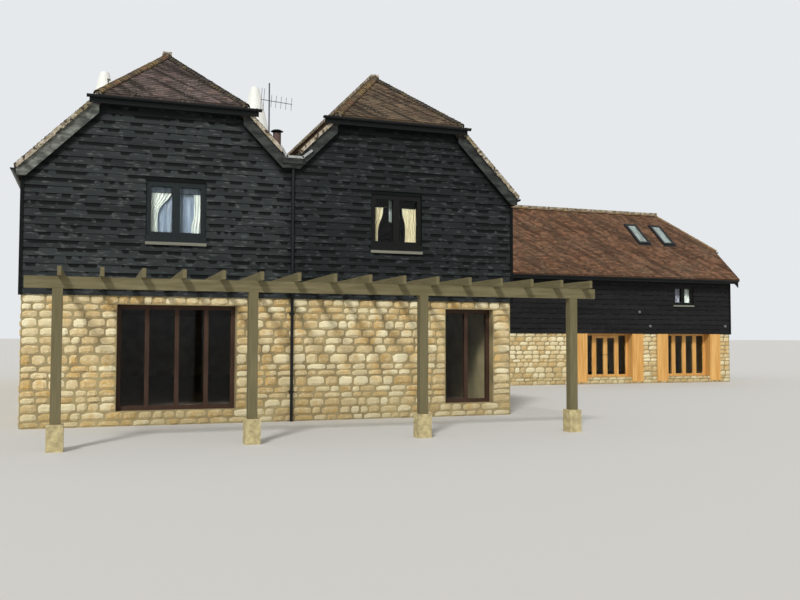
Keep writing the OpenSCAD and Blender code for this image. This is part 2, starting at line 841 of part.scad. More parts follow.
// A boarded cone with one side open, which turns on the spindle
module cowl(x, turn) {
    color("white")
        translate([x, kiln_y, cowl_z])
            rotate([0, 0, turn]) {
                difference() {
                    rotate_extrude($fn = 96)
                        polygon([[cowl_r, 0], [cowl_top_r, cowl_h], [0, cowl_h], [0, cowl_h - 30],
                            [cowl_top_r - cowl_t, cowl_h - 30], [cowl_r - cowl_t, 0]]);
                    rotate([0, 0, -cowl_open / 2])
                        rotate_extrude(angle = cowl_open, $fn = 96)
                            translate([spindle_r * 2, 220])
                                square([cowl_r * 2, cowl_h - 520]);
                }
                difference() {
                    union() {
                        intersection() {
                            cylinder(h = 90, r = cowl_r - cowl_t - 3, $fn = 96);
                            union() {
                                block([-cowl_r, -45, 0], [cowl_r, 45, 90]);
                                block([-45, -cowl_r, 0], [45, cowl_r, 90]);
                            }
                        }
                        cylinder(h = 90, r = spindle_r + 50);
                    }
                    translate([0, 0, -1])
                        cylinder(h = 92, r = spindle_r + 2);
                }
                difference() {
                    translate([0, 0, cowl_h - 160])
                        cylinder(h = 131, r = spindle_r + 45);
                    translate([0, 0, cowl_h - 161])
                        cylinder(h = 101, r = spindle_r + 2);
                }
            }
}

module left_cowl() cowl(kiln_left_x, cowl_left_turn);
module right_cowl() cowl(kiln_right_x, cowl_right_turn);

chimney_x = 712;
chimney_y = 4800;
stack_foot = ridge_h - (gable_x - chimney_x) * slope;
stack_top = stack_foot + stack_rise;
cap_top = stack_top + cap_rise;
mast_top = stack_top + mast_rise;

// The brick stack on the right roof's inner slope, with a flue and rain cap
module chimney() {
    color([0.50, 0.33, 0.25])
        difference() {
            union() {
                block([chimney_x - stack_w / 2, chimney_y - stack_w / 2, stack_foot - stack_w],
                    [chimney_x + stack_w / 2, chimney_y + stack_w / 2, stack_top]);
                translate([chimney_x, chimney_y, stack_top - 1])
                    cylinder(h = cap_top - 70 - stack_top, r = flue_r);
                for (a = [0, 120, 240])
                    rotate_about(chimney_x, chimney_y, a)
                        block([flue_r - 22, -6, cap_top - 120], [flue_r - 4, 6, cap_top - 30]);
                translate([chimney_x, chimney_y, cap_top - 40])
                    cylinder(h = 40, r1 = flue_r + 68, r2 = flue_r);
            }
            translate([chimney_x, chimney_y, stack_top - 600])
                cylinder(h = cap_top - 60 - stack_top + 600, r = flue_r - 16);
            under_roof(gable_x, 0, 0);
        }
}

module rotate_about(x, y, a) {
    translate([x, y, 0])
        rotate([0, 0, a])
            children();
}

mast_x = 430;
mast_y = 4510;
mast_r = 19;
boom_z = mast_top - 490;

// The television aerial: a mast clamped to the stack, a boom and its rods
module aerial() {
    color([0.55, 0.56, 0.58]) {
        translate([mast_x, mast_y, stack_top - 620])
            cylinder(h = mast_top - stack_top + 620, r = mast_r, $fn = 16);
        for (z = [stack_top - 420, stack_top - 140])
            block([mast_x - 30, mast_y - 12, z],
                [chimney_x - stack_w / 2 + 40, chimney_y - stack_w / 2, z + 40]);
        translate([mast_x, mast_y, boom_z])
            rotate([0, 94, 0]) {
                translate([0, 0, -230])
                    cylinder(h = 870, r = 9, $fn = 16);
                for (d = [[-220, 640], [-150, 640], [60, 340], [190, 340], [330, 340], [470, 340],
                        [625, 360]])
                    translate([-d[1] / 2, 0, d[0]])
                        rotate([0, 90, 0])
                            cylinder(h = d[1], r = 6, $fn = 16);
            }
    }
}

// All that lies below the wing's roof, dropped by the thickness of the covering
module under_wing(drop, hip_drop) {
    intersection() {
        along_x(-far, far)
            polygon([[wing_mid_y - far, wing_ridge_h - far * wing_slope - drop],
                [wing_mid_y, wing_ridge_h - drop],
                [wing_mid_y + far, wing_ridge_h - far * wing_slope - drop],
                [wing_mid_y + far, -far], [wing_mid_y - far, -far]]);
        along_y(-far, far)
            polygon([[-far, wing_ridge_h - hip_drop],
                [wing_x - wing_hip_back, wing_ridge_h - hip_drop],
                [wing_x - wing_hip_back + far, wing_ridge_h - far * wing_hip_slope - hip_drop],
                [wing_x - wing_hip_back + far, -far], [-far, -far]]);
    }
}

// The stowage as the wing's roof meets it: its side and its tiled slope
module stowage_side() {
    along_y(-far, far)
        polygon([[-far, -far], [board_x, -far], [board_x, eave_edge],
            [gable_x + eave_d, eave_edge], [gable_x + eave_d, ridge_h - eave_d * slope],
            [gable_x, ridge_h], [-far, ridge_h]]);
}

// The room for the wing's boards under the tiles' edge, t deep from it
module wing_rebate(t) {
    intersection() {
        under_wing(tile_edge, 0);
        block([wing_x + wing_verge_reach - t, -far, 0], [wing_hip_x + 1, far, wing_hip_eave_h - tile_edge]);
    }
    block([wing_hip_x - t, -far, 0], [wing_hip_x + 1, far, wing_hip_eave_h - eave_lip]);
    block([-far, wing_y - wing_eave_reach - 1, 0],
        [wing_hip_x, wing_y - wing_eave_reach + t, wing_eave_h - eave_lip]);
    block([-far, wing_rear_y + wing_eave_reach - t, 0],
        [wing_hip_x, wing_rear_y + wing_eave_reach + 1, wing_eave_h - eave_lip]);
}

module wing_roof() {
    color(tile)
        difference() {
            intersection() {
                under_wing(0, 0);
                union() {
                    block([gable_x, wing_y - wing_eave_reach, wing_edge - 1],
                        [wing_x + wing_verge_reach, wing_rear_y + wing_eave_reach, wing_ridge_h + 1]);
                    block([wing_x, wing_mid_y - wing_hip_half, wing_hip_edge - 1],
                        [wing_hip_x, wing_mid_y + wing_hip_half, wing_ridge_h + 1]);
                }
            }
            under_wing(wing_v, wing_hip_v);
            wing_rebate(tile_past + barge_t);
            kiln_body(kiln_right_x);
            stowage_side();
            for (x = [skylight_a_x, skylight_b_x])
                skylight_place(x)
                    block([-skylight_w / 2 + 45, 45, -far / 10],
                        [skylight_w / 2 - 45, skylight_l - 45, far / 10]);
        }
}

// Sets what follows on the front slope, its lower edge at the roof windows' foot
module skylight_place(x) {
    translate([x, wing_y - wing_eave_reach + (skylight_z - wing_eave_h) / wing_slope, skylight_z])
        rotate([atan(wing_slope), 0, 0])
            children();
}

module roof_windows() {
    color([0.22, 0.22, 0.23])
        for (x = [skylight_a_x, skylight_b_x])
            skylight_place(x)
                difference() {
                    block([-skylight_w / 2, 0, fit], [skylight_w / 2, skylight_l, 55]);
                    block([-skylight_w / 2 + skylight_frame, skylight_frame, -1],
                        [skylight_w / 2 - skylight_frame, skylight_l - skylight_frame, 56]);
                }
}

module roof_window_glass() {
    color(pane)
        for (x = [skylight_a_x, skylight_b_x])
            skylight_place(x)
                block([-skylight_w / 2 + skylight_frame, skylight_frame, 22],
                    [skylight_w / 2 - skylight_frame, skylight_l - skylight_frame, 22 + 2 * glass_t]);
}

oak_half = oak_clear / 2 + oak_w;

// The wing's front wall: the long part, the pier between the screens, and the corner
module wing_front_wall() {
    color(stone) {
        block([stone_x, wing_y, 0], [door_x - oak_half, wing_y + stone_t, wing_stone_h]);
        block([door_x + oak_half, wing_y, 0], [fixed_x - oak_half, wing_y + stone_t, wing_stone_h]);
        block([fixed_x + oak_half, wing_y, 0], [wing_x - stone_t, wing_y + stone_t, wing_stone_h]);
        for (x = [door_x, fixed_x]) {
            block([x - oak_half, wing_y, 0], [x + oak_half, wing_y + stone_t, oak_foot]);
            block([x - oak_clear / 2, wing_y, 0], [x + oak_clear / 2, wing_y + stone_t, wing_floor]);
        }
    }
}

module wing_rear_wall() {
    color(stone)
        block([stone_x, wing_rear_y - stone_t, 0], [wing_x - stone_t, wing_rear_y, wing_stone_h]);
}

module wing_end_wall() {
    color(stone)
        block([wing_x - stone_t, wing_y, 0], [wing_x, wing_rear_y, wing_stone_h]);
}

module wing_long_boards(a, b) {
    difference() {
        intersection() {
            under_wing(wing_v, wing_hip_v);
            block([board_x, a, wing_stone_h], [wing_x + board_proud, b, wing_ridge_h]);
        }
        block([wing_win_x - wing_win_w / 2, wing_y - 500, wing_win_z],
            [wing_win_x + wing_win_w / 2, wing_y + 500, wing_win_z + wing_win_h]);
    }
}

module wing_front_boards() {
    color(black)
        wing_long_boards(wing_y - board_proud, wing_y - board_proud + board_t);
}

module wing_rear_boards() {
    color(black)
        wing_long_boards(wing_rear_y + board_proud - board_t, wing_rear_y + board_proud);
}

module wing_end_boards() {
    color(black)
        intersection() {
            under_wing(wing_v, wing_hip_v);
            block([wing_x + board_proud - board_t, wing_y - board_proud + board_t, wing_stone_h],
                [wing_x + board_proud, wing_rear_y + board_proud - board_t, wing_ridge_h]);
        }
}

// The wide oak posts on each side of the two screens
module oak_posts() {
    color(oak)
        for (x = [door_x, fixed_x])
            for (s = [-1, 1])
                block([s > 0 ? x + oak_clear / 2 : x - oak_half, wing_y - oak_proud, oak_foot],
                    [s > 0 ? x + oak_half : x - oak_clear / 2, wing_y + stone_t, wing_stone_h]);
}

// The left edge of light i of the screen at x
function light_x(x, i) = x - oak_clear / 2 + i * light_p;

// An oak frame from a to b with one light cut through it
module one_light(a, b, z, h, left, right) {
    difference() {
        block([a, screen_y, z], [b, screen_y + leaf_t, z + h]);
        block([a + left, screen_y - 1, z + rail_h], [b - right, screen_y + leaf_t + 1, z + h - rail_h]);
    }
}

module pane_of(a, b, z, h, left, right) {
    block([a + left, screen_y + (leaf_t - glass_t) / 2, z + rail_h],
        [b - right, screen_y + (leaf_t + glass_t) / 2, z + h - rail_h]);
}

// The four-light screen, the two side lights by the doors and the head over them
module fixed_screens() {
    color(oak) {
        for (i = [0 : 3])
            one_light(light_x(fixed_x, i), light_x(fixed_x, i + 1), wing_floor, wing_stone_h - wing_floor,
                mullion_w / 2, mullion_w / 2);
        for (i = [0, 3])
            one_light(light_x(door_x, i), light_x(door_x, i + 1), wing_floor, wing_stone_h - wing_floor,
                mullion_w / 2, mullion_w / 2);
        block([light_x(door_x, 1), screen_y, wing_stone_h - rail_h],
            [light_x(door_x, 3), screen_y + leaf_t, wing_stone_h]);
    }
}

module fixed_screen_glass() {
    color(pane) {
        for (i = [0 : 3])
            pane_of(light_x(fixed_x, i), light_x(fixed_x, i + 1), wing_floor, wing_stone_h - wing_floor,
                mullion_w / 2, mullion_w / 2);
        for (i = [0, 3])
            pane_of(light_x(door_x, i), light_x(door_x, i + 1), wing_floor, wing_stone_h - wing_floor,
                mullion_w / 2, mullion_w / 2);
    }
}

// The left edge of a door leaf, side = -1 left or 1 right
function leaf_a(side) = side < 0 ? door_x - leaf_gap / 2 - leaf_w : door_x + leaf_gap / 2;

// One of the pair of doors
module door_leaf(side) {
    a = leaf_a(side);
    color(oak)
        one_light(a, a + leaf_w, leaf_z, leaf_h, mullion_w / 2, mullion_w / 2);
}

// Where a leaf's hinges turn, at the jamb side of the leaf, inside the room
function pin_x(side) = door_x + side * (light_p - leaf_gap / 2);
pin_y = screen_y + leaf_t + hinge_r + 2;

// One hinge flap with its knuckle, reaching towards dir, from z up
module hinge_half(side, dir, z) {
    translate([pin_x(side), pin_y, z])
        cylinder(h = hinge_h, r = hinge_r, $fn = 24);
    block([dir > 0 ? pin_x(side) : pin_x(side) - 62, screen_y + leaf_t, z],
        [dir > 0 ? pin_x(side) + 62 : pin_x(side), screen_y + leaf_t + 4, z + hinge_h]);
}

function hinge_z() = [leaf_z + 140, leaf_z + leaf_h / 2 - hinge_h, leaf_z + leaf_h - 140 - 2 * hinge_h];

// The fixed halves of the hinges, on the side lights
module door_hinges() {
    color([0.35, 0.35, 0.36])
        for (side = [-1, 1])
            for (z = hinge_z())
                hinge_half(side, side, z);
}

// A lever handle on the meeting stile and the leaf's halves of the hinges
module door_fittings(side) {
    h = side < 0 ? leaf_a(side) + leaf_w - mullion_w / 4 : leaf_a(side) + mullion_w / 4;
    color([0.35, 0.35, 0.36]) {
        translate([h, screen_y, wing_floor + 900])
            rotate([90, 0, 0])
                cylinder(h = 45, r = 11, $fn = 24);
        translate([h, screen_y - 40, wing_floor + 900])
            rotate([0, side * 90, 0])
                cylinder(h = 120, r = 9, $fn = 24);
        for (z = hinge_z())
            hinge_half(side, -side, z + hinge_h + 0.3);
    }
}

module leaf_glass(side) {
    a = leaf_a(side);
    color(pane)
        pane_of(a, a + leaf_w, leaf_z, leaf_h, mullion_w / 2, mullion_w / 2);
}

module left_door() door_leaf(-1);
module right_door() door_leaf(1);
module left_door_glass() leaf_glass(-1);
module left_door_fittings() door_fittings(-1);
module right_door_fittings() door_fittings(1);
module right_door_glass() leaf_glass(1);

// Small round lamps on the wing's boards
module wall_lamps() {
    color([0.85, 0.85, 0.82])
        for (p = [[door_x + lamp_high_x, lamp_high_z], [door_x + lamp_low_x, lamp_low_z],
                [wing_x - lamp_end_x, lamp_end_z]])
            translate([p[0], wing_y - board_proud, wing_stone_h + p[1]])
                rotate([90, 0, 0])
                    cylinder(h = lamp_d, r = lamp_r, $fn = 32);
}

// The pergola: posts on stone pads, a beam along them, rafters back to the wall
module pergola_posts() {
    color(grey_oak)
        for (i = [0 : 3])
            block([pergola_x + i * pergola_bay - pergola_post / 2, -pergola_y - pergola_post / 2, pad_h],
                [pergola_x + i * pergola_bay + pergola_post / 2, -pergola_y + pergola_post / 2, pergola_h]);
}

module pergola_pads() {
    color([0.72, 0.69, 0.60])
        for (i = [0 : 3])
            block([pergola_x + i * pergola_bay - pad_w / 2, -pergola_y - pad_w / 2, 0],
                [pergola_x + i * pergola_bay + pad_w / 2, -pergola_y + pad_w / 2, pad_h]);
}

module pergola_beam() {
    color(grey_oak)
        block([pergola_x - 500, -pergola_y - beam_t / 2, pergola_h],
            [pergola_x + 3 * pergola_bay + 500, -pergola_y + beam_t / 2, pergola_h + beam_h]);
}

module pergola_rafters() {
    color(grey_oak)
        for (i = [0 : 15])
            block([pergola_x + 30 + i * rafter_gap - rafter_t / 2, -pergola_y - 350, pergola_h + beam_h],
                [pergola_x + 30 + i * rafter_gap + rafter_t / 2, front_face, pergola_h + beam_h + rafter_h]);
}

front_wall();
rear_wall();
left_wall();
right_wall();
front_left_gable();
front_right_gable();
rear_left_gable();
rear_right_gable();
left_side_boards();
right_side_boards();
ground_floor();
upper_floor();
left_roof();
right_roof();
bargeboards();
fascias();
gutters();
valley_gutter();
downpipe();
window_frames();
window_glass();
window_sills();
front_screens();
front_screen_glass();
left_kiln_wall();
right_kiln_wall();
left_kiln_roof();
right_kiln_roof();
cowl_curbs();
left_cowl();
right_cowl();
chimney();
aerial();
wing_front_wall();
wing_rear_wall();
wing_end_wall();
wing_front_boards();
wing_rear_boards();
wing_end_boards();
wing_roof();
roof_windows();
roof_window_glass();
oak_posts();
fixed_screens();
fixed_screen_glass();
left_door();
left_door_glass();
left_door_fittings();
right_door();
right_door_glass();
right_door_fittings();
door_hinges();
wall_lamps();
pergola_posts();
pergola_pads();
pergola_beam();
pergola_rafters();
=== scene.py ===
"""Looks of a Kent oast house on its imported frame: ragstone and black weatherboards under plain
clay tiles, two round kilns with white cowls, a long wing with oak screens, and a pergola.
Metres. -Y is the front, the wing runs towards +X and z = 0 is the lowest ground."""
import math

import bpy
import numpy as np
from mathutils import Matrix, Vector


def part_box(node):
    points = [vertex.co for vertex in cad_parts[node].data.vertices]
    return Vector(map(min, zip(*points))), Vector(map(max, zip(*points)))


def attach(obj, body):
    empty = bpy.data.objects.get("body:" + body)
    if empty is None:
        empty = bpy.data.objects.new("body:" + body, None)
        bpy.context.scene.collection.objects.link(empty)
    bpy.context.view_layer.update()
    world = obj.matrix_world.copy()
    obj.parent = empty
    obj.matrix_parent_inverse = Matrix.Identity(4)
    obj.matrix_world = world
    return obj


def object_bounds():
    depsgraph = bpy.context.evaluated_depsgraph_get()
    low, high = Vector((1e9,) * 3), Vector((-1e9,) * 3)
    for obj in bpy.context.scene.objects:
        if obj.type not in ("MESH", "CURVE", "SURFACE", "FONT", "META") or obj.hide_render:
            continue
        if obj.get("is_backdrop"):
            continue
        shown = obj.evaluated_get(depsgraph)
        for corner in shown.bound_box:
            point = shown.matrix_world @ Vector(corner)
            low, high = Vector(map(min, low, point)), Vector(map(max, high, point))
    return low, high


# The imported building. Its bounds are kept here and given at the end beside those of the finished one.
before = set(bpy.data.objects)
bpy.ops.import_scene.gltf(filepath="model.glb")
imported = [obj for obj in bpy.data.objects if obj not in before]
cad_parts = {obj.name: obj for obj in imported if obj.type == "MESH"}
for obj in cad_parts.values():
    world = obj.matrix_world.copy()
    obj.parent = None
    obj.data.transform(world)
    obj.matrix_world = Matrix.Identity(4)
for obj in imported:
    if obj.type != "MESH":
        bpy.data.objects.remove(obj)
cad_low, cad_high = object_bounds()


# Ragstone walls: hard pale-brown rubble brought to rough courses, bedded in lime mortar. The solid
# walls of the frame are the mortar, and every stone stands a little proud of them.
def extent(node):
    """Lowest and highest corner of a frame node, to a tenth of a millimetre."""
    return np.round(np.array(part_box(node), float), 4).tolist()


def linear(colour):
    """An sRGB hex colour as linear RGBA: c / 12.92 up to 0.04045, else ((c + 0.055) / 1.055) ^ 2.4."""
    c = np.array([int(colour[i:i + 2], 16) for i in (1, 3, 5)]) / 255
    c = np.where(c <= 0.04045, c / 12.92, ((c + 0.055) / 1.055) ** 2.4)
    return (*c.tolist(), 1.0)


def add(holder, kind, inputs=(), **props):
    """Adds a shader node to a material or world: props are set on it, and inputs pair a socket's name or
    number with a number, an sRGB hex colour, or an output to link."""
    made = holder.node_tree.nodes.new("ShaderNode" + kind)
    for key, value in props.items():
        setattr(made, key, value)
    for socket, value in inputs:
        if isinstance(value, bpy.types.NodeSocket):
            holder.node_tree.links.new(value, made.inputs[socket])
        elif isinstance(value, str):
            made.inputs[socket].default_value = linear(value)
        else:
            made.inputs[socket].default_value = value
    return made


def blank(name):
    """A material with nothing but object coordinates, which are the frame's metres, and that output."""
    mat = bpy.data.materials.new(name)
    mat.use_nodes = True
    mat.node_tree.nodes.clear()
    return mat, add(mat, "TexCoord").outputs["Object"]


def patches(mat, where, size, low, high, detail=4.0, stretch=(1.0, 1.0, 1.0)):
    """Noise in patches about size metres across, times stretch along each axis, as 0 below low and 1
    above high."""
    place = add(mat, "Mapping", [("Vector", where), ("Scale", tuple(1 / (size * s) for s in stretch))])
    noise = add(mat, "TexNoise", [("Vector", place.outputs[0]), ("Scale", 1.0), ("Detail", detail)])
    return add(mat, "MapRange", [(0, noise.outputs[0]), (1, low), (2, high)]).outputs[0]


def layer(mat, under, over, *shares):
    """Lays the colour over on the colour under by the product of the shares, each from 0 to 1."""
    share = shares[0]
    for other in shares[1:]:
        share = add(mat, "Math", [(0, share), (1, other)], operation="MULTIPLY").outputs[0]
    return add(mat, "Mix", [(0, share), (6, under), (7, over)], data_type="RGBA").outputs[2]


def surface(mat, colour, roughness, height=None, depth=0.002, more=()):
    """Ends a material in a Principled shader, with height from 0 to 1 bumped to depth metres."""
    inputs = [("Base Color", colour), ("Roughness", roughness), *more]
    if height is not None:
        inputs.append(("Normal", add(mat, "Bump", [("Height", height), ("Distance", depth)]).outputs[0]))
    shader = add(mat, "BsdfPrincipled", inputs)
    add(mat, "OutputMaterial", [("Surface", shader.outputs[0])])
    return mat


def dress(mat, *nodes):
    """Gives frame nodes a material."""
    for node in nodes:
        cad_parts[node].data.materials.clear()
        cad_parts[node].data.materials.append(mat)


def build(name, points, pattern, mat, tone=None, body="building", smooth=False, own=None):
    """Many like closed solids as one mesh: points is (n, p, 3), and pattern (f, 4) numbers the p points of
    each. tone is each solid's own random number, and own gives each point coordinates of its roof or row
    in metres, for stains that follow the rows."""
    n, p = points.shape[:2]
    faces = (pattern[None] + p * np.arange(n)[:, None, None]).reshape(-1, 4)
    mesh = bpy.data.meshes.new(name)
    mesh.vertices.add(n * p)
    mesh.vertices.foreach_set("co", points.astype(np.float32).ravel())
    mesh.loops.add(faces.size)
    mesh.loops.foreach_set("vertex_index", faces.astype(np.int32).ravel())
    mesh.polygons.add(len(faces))
    mesh.polygons.foreach_set("loop_start", np.arange(0, faces.size, 4, dtype=np.int32))
    mesh.update(calc_edges=True)
    mesh.validate()
    if tone is not None:
        kept = mesh.attributes.new("tone", "FLOAT", "FACE")
        kept.data.foreach_set("value", np.repeat(tone, len(pattern)).astype(np.float32))
    if own is not None:
        kept = mesh.attributes.new("own", "FLOAT_VECTOR", "POINT")
        kept.data.foreach_set("vector", own.astype(np.float32).ravel())
    mesh.polygons.foreach_set("use_smooth", np.full(len(mesh.polygons), smooth))
    mesh.materials.append(mat)
    made = bpy.data.objects.new(name, mesh)
    bpy.context.scene.collection.objects.link(made)
    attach(made, body)
    return made


def courses(rng, levels, low, high):
    """Bed heights from level to level, each course a random height within low..high before it is fitted."""
    edges = [levels[0]]
    for a, b in zip(levels[:-1], levels[1:]):
        steps = rng.uniform(low, high, max(1, round((b - a) * 2 / (low + high))))
        edges.extend(a + np.cumsum(steps) / steps.sum() * (b - a))
    return edges


def stones(rng, levels, spans, place, low=0.12, high=0.23, longest=0.46):
    """Rubble in courses. spans(z0, z1) gives a course's stretches, and place(u, z, h) turns metres along
    the wall, metres up and metres proud into points. A stone is a 4 by 4 grid whose inner points stand
    proud of its rim: u = u0 + s (u1 - u0), z = z0 + t (z1 - z0), h = random within, just under the mortar
    at the rim."""
    shortest, joint, sunk, uneven = 0.18, 0.007, -0.004, 0.005
    cells = []
    beds = courses(rng, levels, low, high)
    for z0, z1 in zip(beds[:-1], beds[1:]):
        for a, b in spans(z0, z1):
            widths = rng.uniform(shortest, longest, max(1, round((b - a) * 2 / (shortest + longest))))
            ends = a + np.append(0, np.cumsum(widths)) / widths.sum() * (b - a)
            cells.extend(zip(ends[:-1], ends[1:], [z0] * len(widths), [z1] * len(widths)))
    u0, u1, z0, z1 = np.array(cells).T[:, :, None, None]
    share = np.array([0.0, 0.26, 0.74, 1.0])
    corner = np.array([0.12, 0.0, 0.0, 0.12])
    s = share[None, None, :] + corner[None, :, None] * (0.5 - share)[None, None, :]
    t = share[None, :, None] + corner[None, None, :] * (0.5 - share)[None, :, None]
    shape = (len(cells), 4, 4)
    u = u0 + joint + s * (u1 - u0 - 2 * joint) + rng.normal(0, uneven, shape)
    z = np.maximum(z0 + joint + t * (z1 - z0 - 2 * joint) + rng.normal(0, uneven, shape), 0.0)
    h = np.full(shape, sunk)
    h[:, 1:3, 1:3] = rng.uniform(0.012, 0.032, (len(cells), 1, 1)) + rng.normal(0, 0.004, (len(cells), 2, 2))
    return place(u, z, h).reshape(len(cells), 16, 3), rng.random(len(cells))


def flat_wall(x, y, ux, uy):
    """Places a wall's points on a plane through (x, y) that runs along (ux, uy) and faces (uy, -ux)."""
    return lambda u, z, h: np.stack([x + ux * u + uy * h, y + uy * u - ux * h, z], -1)


def round_wall(x, y, r):
    """Places them on an upright cylinder: x + (r + h) cos(u / r), y + (r + h) sin(u / r), z."""
    return lambda u, z, h: np.stack([x + (r + h) * np.cos(u / r), y + (r + h) * np.sin(u / r), z], -1)


def around(holes, a, b):
    """The stretches of a wall from a to b that holes leave: a hole is (from, to, foot, head)."""
    bite, least = 0.03, 0.05

    def spans(z0, z1):
        met = sorted(h for h in holes if z0 < h[3] - bite and z1 > h[2] + bite)
        ends = [a] + [e for h in met for e in h[:2]] + [b]
        return [(p, q) for p, q in zip(ends[::2], ends[1::2]) if q - p > least]
    return spans


(_, stone_y, _), (stone_x, _, stone_top) = extent("front_wall")
rear_y = extent("rear_wall")[1][1]
wing_stone_y = extent("wing_front_wall")[0][1]
wing_end_x, _, wing_stone_top = extent("wing_end_wall")[1]
kilns = {}
for name in ("left", "right"):
    low, high = extent(name + "_kiln_wall")
    kiln_r = round((high[0] - low[0]) / 2, 4)
    kiln_y, kiln_top = round(high[1] - kiln_r, 4), high[2]
    kilns[name] = round((low[0] + high[0]) / 2, 4)

# Lime mortar: sandy, quite matt, and blotched a shade darker than the stones. Its sand is 3 mm across and is
# drawn at 12 mm, so that it shows.
mortar, at = blank("Lime_mortar")
colour = layer(mortar, "#b0a075", "#968661", patches(mortar, at, 0.5, 0.35, 0.65))
surface(mortar, colour, 0.95, patches(mortar, at, 0.012, 0.3, 0.7), 0.003)
dress(mortar, "front_wall", "rear_wall", "left_wall", "right_wall", "left_kiln_wall", "right_kiln_wall",
      "wing_front_wall", "wing_rear_wall", "wing_end_wall")

# Rough-dressed ragstone: each stone has its own brown or cream, with iron stains 350 mm wide, pale chips of
# 60 mm and tool marks of 30 mm on a dry, matt face, and the lowest courses are damp and darker.
ragstone, at = blank("Ragstone_rough_dressed")
tone = add(ragstone, "Attribute", attribute_name="tone").outputs["Fac"]
colour = layer(ragstone, "#c8a96f", "#faf0c8", tone)
colour = layer(ragstone, colour, "#d6b06c", patches(ragstone, at, 0.35, 0.5, 0.72))
colour = layer(ragstone, colour, "#f4e8c0", patches(ragstone, at, 0.06, 0.5, 0.7), 0.55)
height = add(ragstone, "SeparateXYZ", [(0, at)]).outputs[2]
damp = add(ragstone, "MapRange", [(0, height), (1, 0.9), (2, 0.0), (4, 0.4)]).outputs[0]
colour = layer(ragstone, colour, "#958a64", damp)
surface(ragstone, colour, 0.9, patches(ragstone, at, 0.03, 0.3, 0.75), 0.008, [("Specular IOR Level", 0.25)])

rim = [0, 1, 2, 3, 7, 11, 15, 14, 13, 12, 8, 4]
face = [[i, i + 1, i + 5, i + 4] for i in (0, 1, 2, 4, 5, 6, 8, 9, 10)]
back = [[rim[k] for k in q] for q in
        ((3, 2, 1, 0), (11, 4, 3, 0), (10, 5, 4, 11), (9, 6, 5, 10), (8, 7, 6, 9))]
STONE = np.array(face + back)
(screen_left, _, screen_foot), (screen_right, _, screen_head) = extent("front_screens")
# Holes in the stone: (from, to, foot, head) along each wall, for the front screens' six lights, the oak
# screens, and the kilns' bond with the rear wall. A kiln's stones run between its turns, in radians.
light_w = 0.61
screen_holes = [(screen_left, screen_left + 4 * light_w, screen_foot, screen_head),
                (screen_right - 2 * light_w, screen_right, screen_foot, screen_head)]
(oak_left, _, _), (oak_right, _, _) = extent("oak_posts")
oak_foot = extent("fixed_screens")[0][2]
oak_w = 3.18
oak_holes = [(oak_left, oak_left + oak_w, oak_foot, 3), (oak_right - oak_w, oak_right, oak_foot, 3)]
kiln_bonds = [(-3.56, -2.05, 0, 3), (2.975, 4.485, 0, 3)]
kiln_turns = (-1.283, 4.424)
rng = np.random.default_rng(11)
wall_list = {
    "front": ([0, screen_foot, screen_head, stone_top], around(screen_holes, -stone_x, stone_x),
              flat_wall(0, stone_y, 1, 0)),
    "left": ([0, stone_top], around([], -rear_y, -stone_y), flat_wall(-stone_x, 0, 0, -1)),
    "right": ([0, stone_top], around([], stone_y, wing_stone_y), flat_wall(stone_x, 0, 0, 1)),
    "rear": ([0, stone_top], around(kiln_bonds, -stone_x, stone_x), flat_wall(0, rear_y, -1, 0)),
    "wing_front": ([0, oak_foot, wing_stone_top], around(oak_holes, stone_x, wing_end_x),
                   flat_wall(0, wing_stone_y, 1, 0)),
    "wing_end": ([0, wing_stone_top], around([], wing_stone_y, rear_y), flat_wall(wing_end_x, 0, 0, 1)),
    "wing_rear": ([0, wing_stone_top], around([], -wing_end_x, -stone_x), flat_wall(0, rear_y, -1, 0)),
}
for name, (levels, spans, place) in wall_list.items():
    points, tones = stones(rng, levels, spans, place)
    build(name + "_ragstone", points, STONE, ragstone, tones)
for name, x in kilns.items():
    spans = around([], kiln_turns[0] * kiln_r, kiln_turns[1] * kiln_r)
    points, tones = stones(rng, [0, kiln_top], spans, round_wall(x, kiln_y, kiln_r), low=0.16, high=0.27,
                           longest=0.55)
    build(name + "_kiln_ragstone", points, STONE, ragstone, tones)


# Weatherboards: feather-edged softwood, nailed in rows that lap the one below, and tarred black. On the
# left gable the tar has worn to a grey brown, and the wing's boards are wider and newer.
def tube(rings, sides):
    """The faces of a closed tube of so many rings with so many points each; a ring's normal points along
    the tube."""
    around_it = [[i * sides + k, i * sides + (k + 1) % sides, (i + 1) * sides + (k + 1) % sides,
                  (i + 1) * sides + k] for i in range(rings - 1) for k in range(sides)]
    last = (rings - 1) * sides
    return np.array(around_it + [[3, 2, 1, 0], [last, last + 1, last + 2, last + 3]])


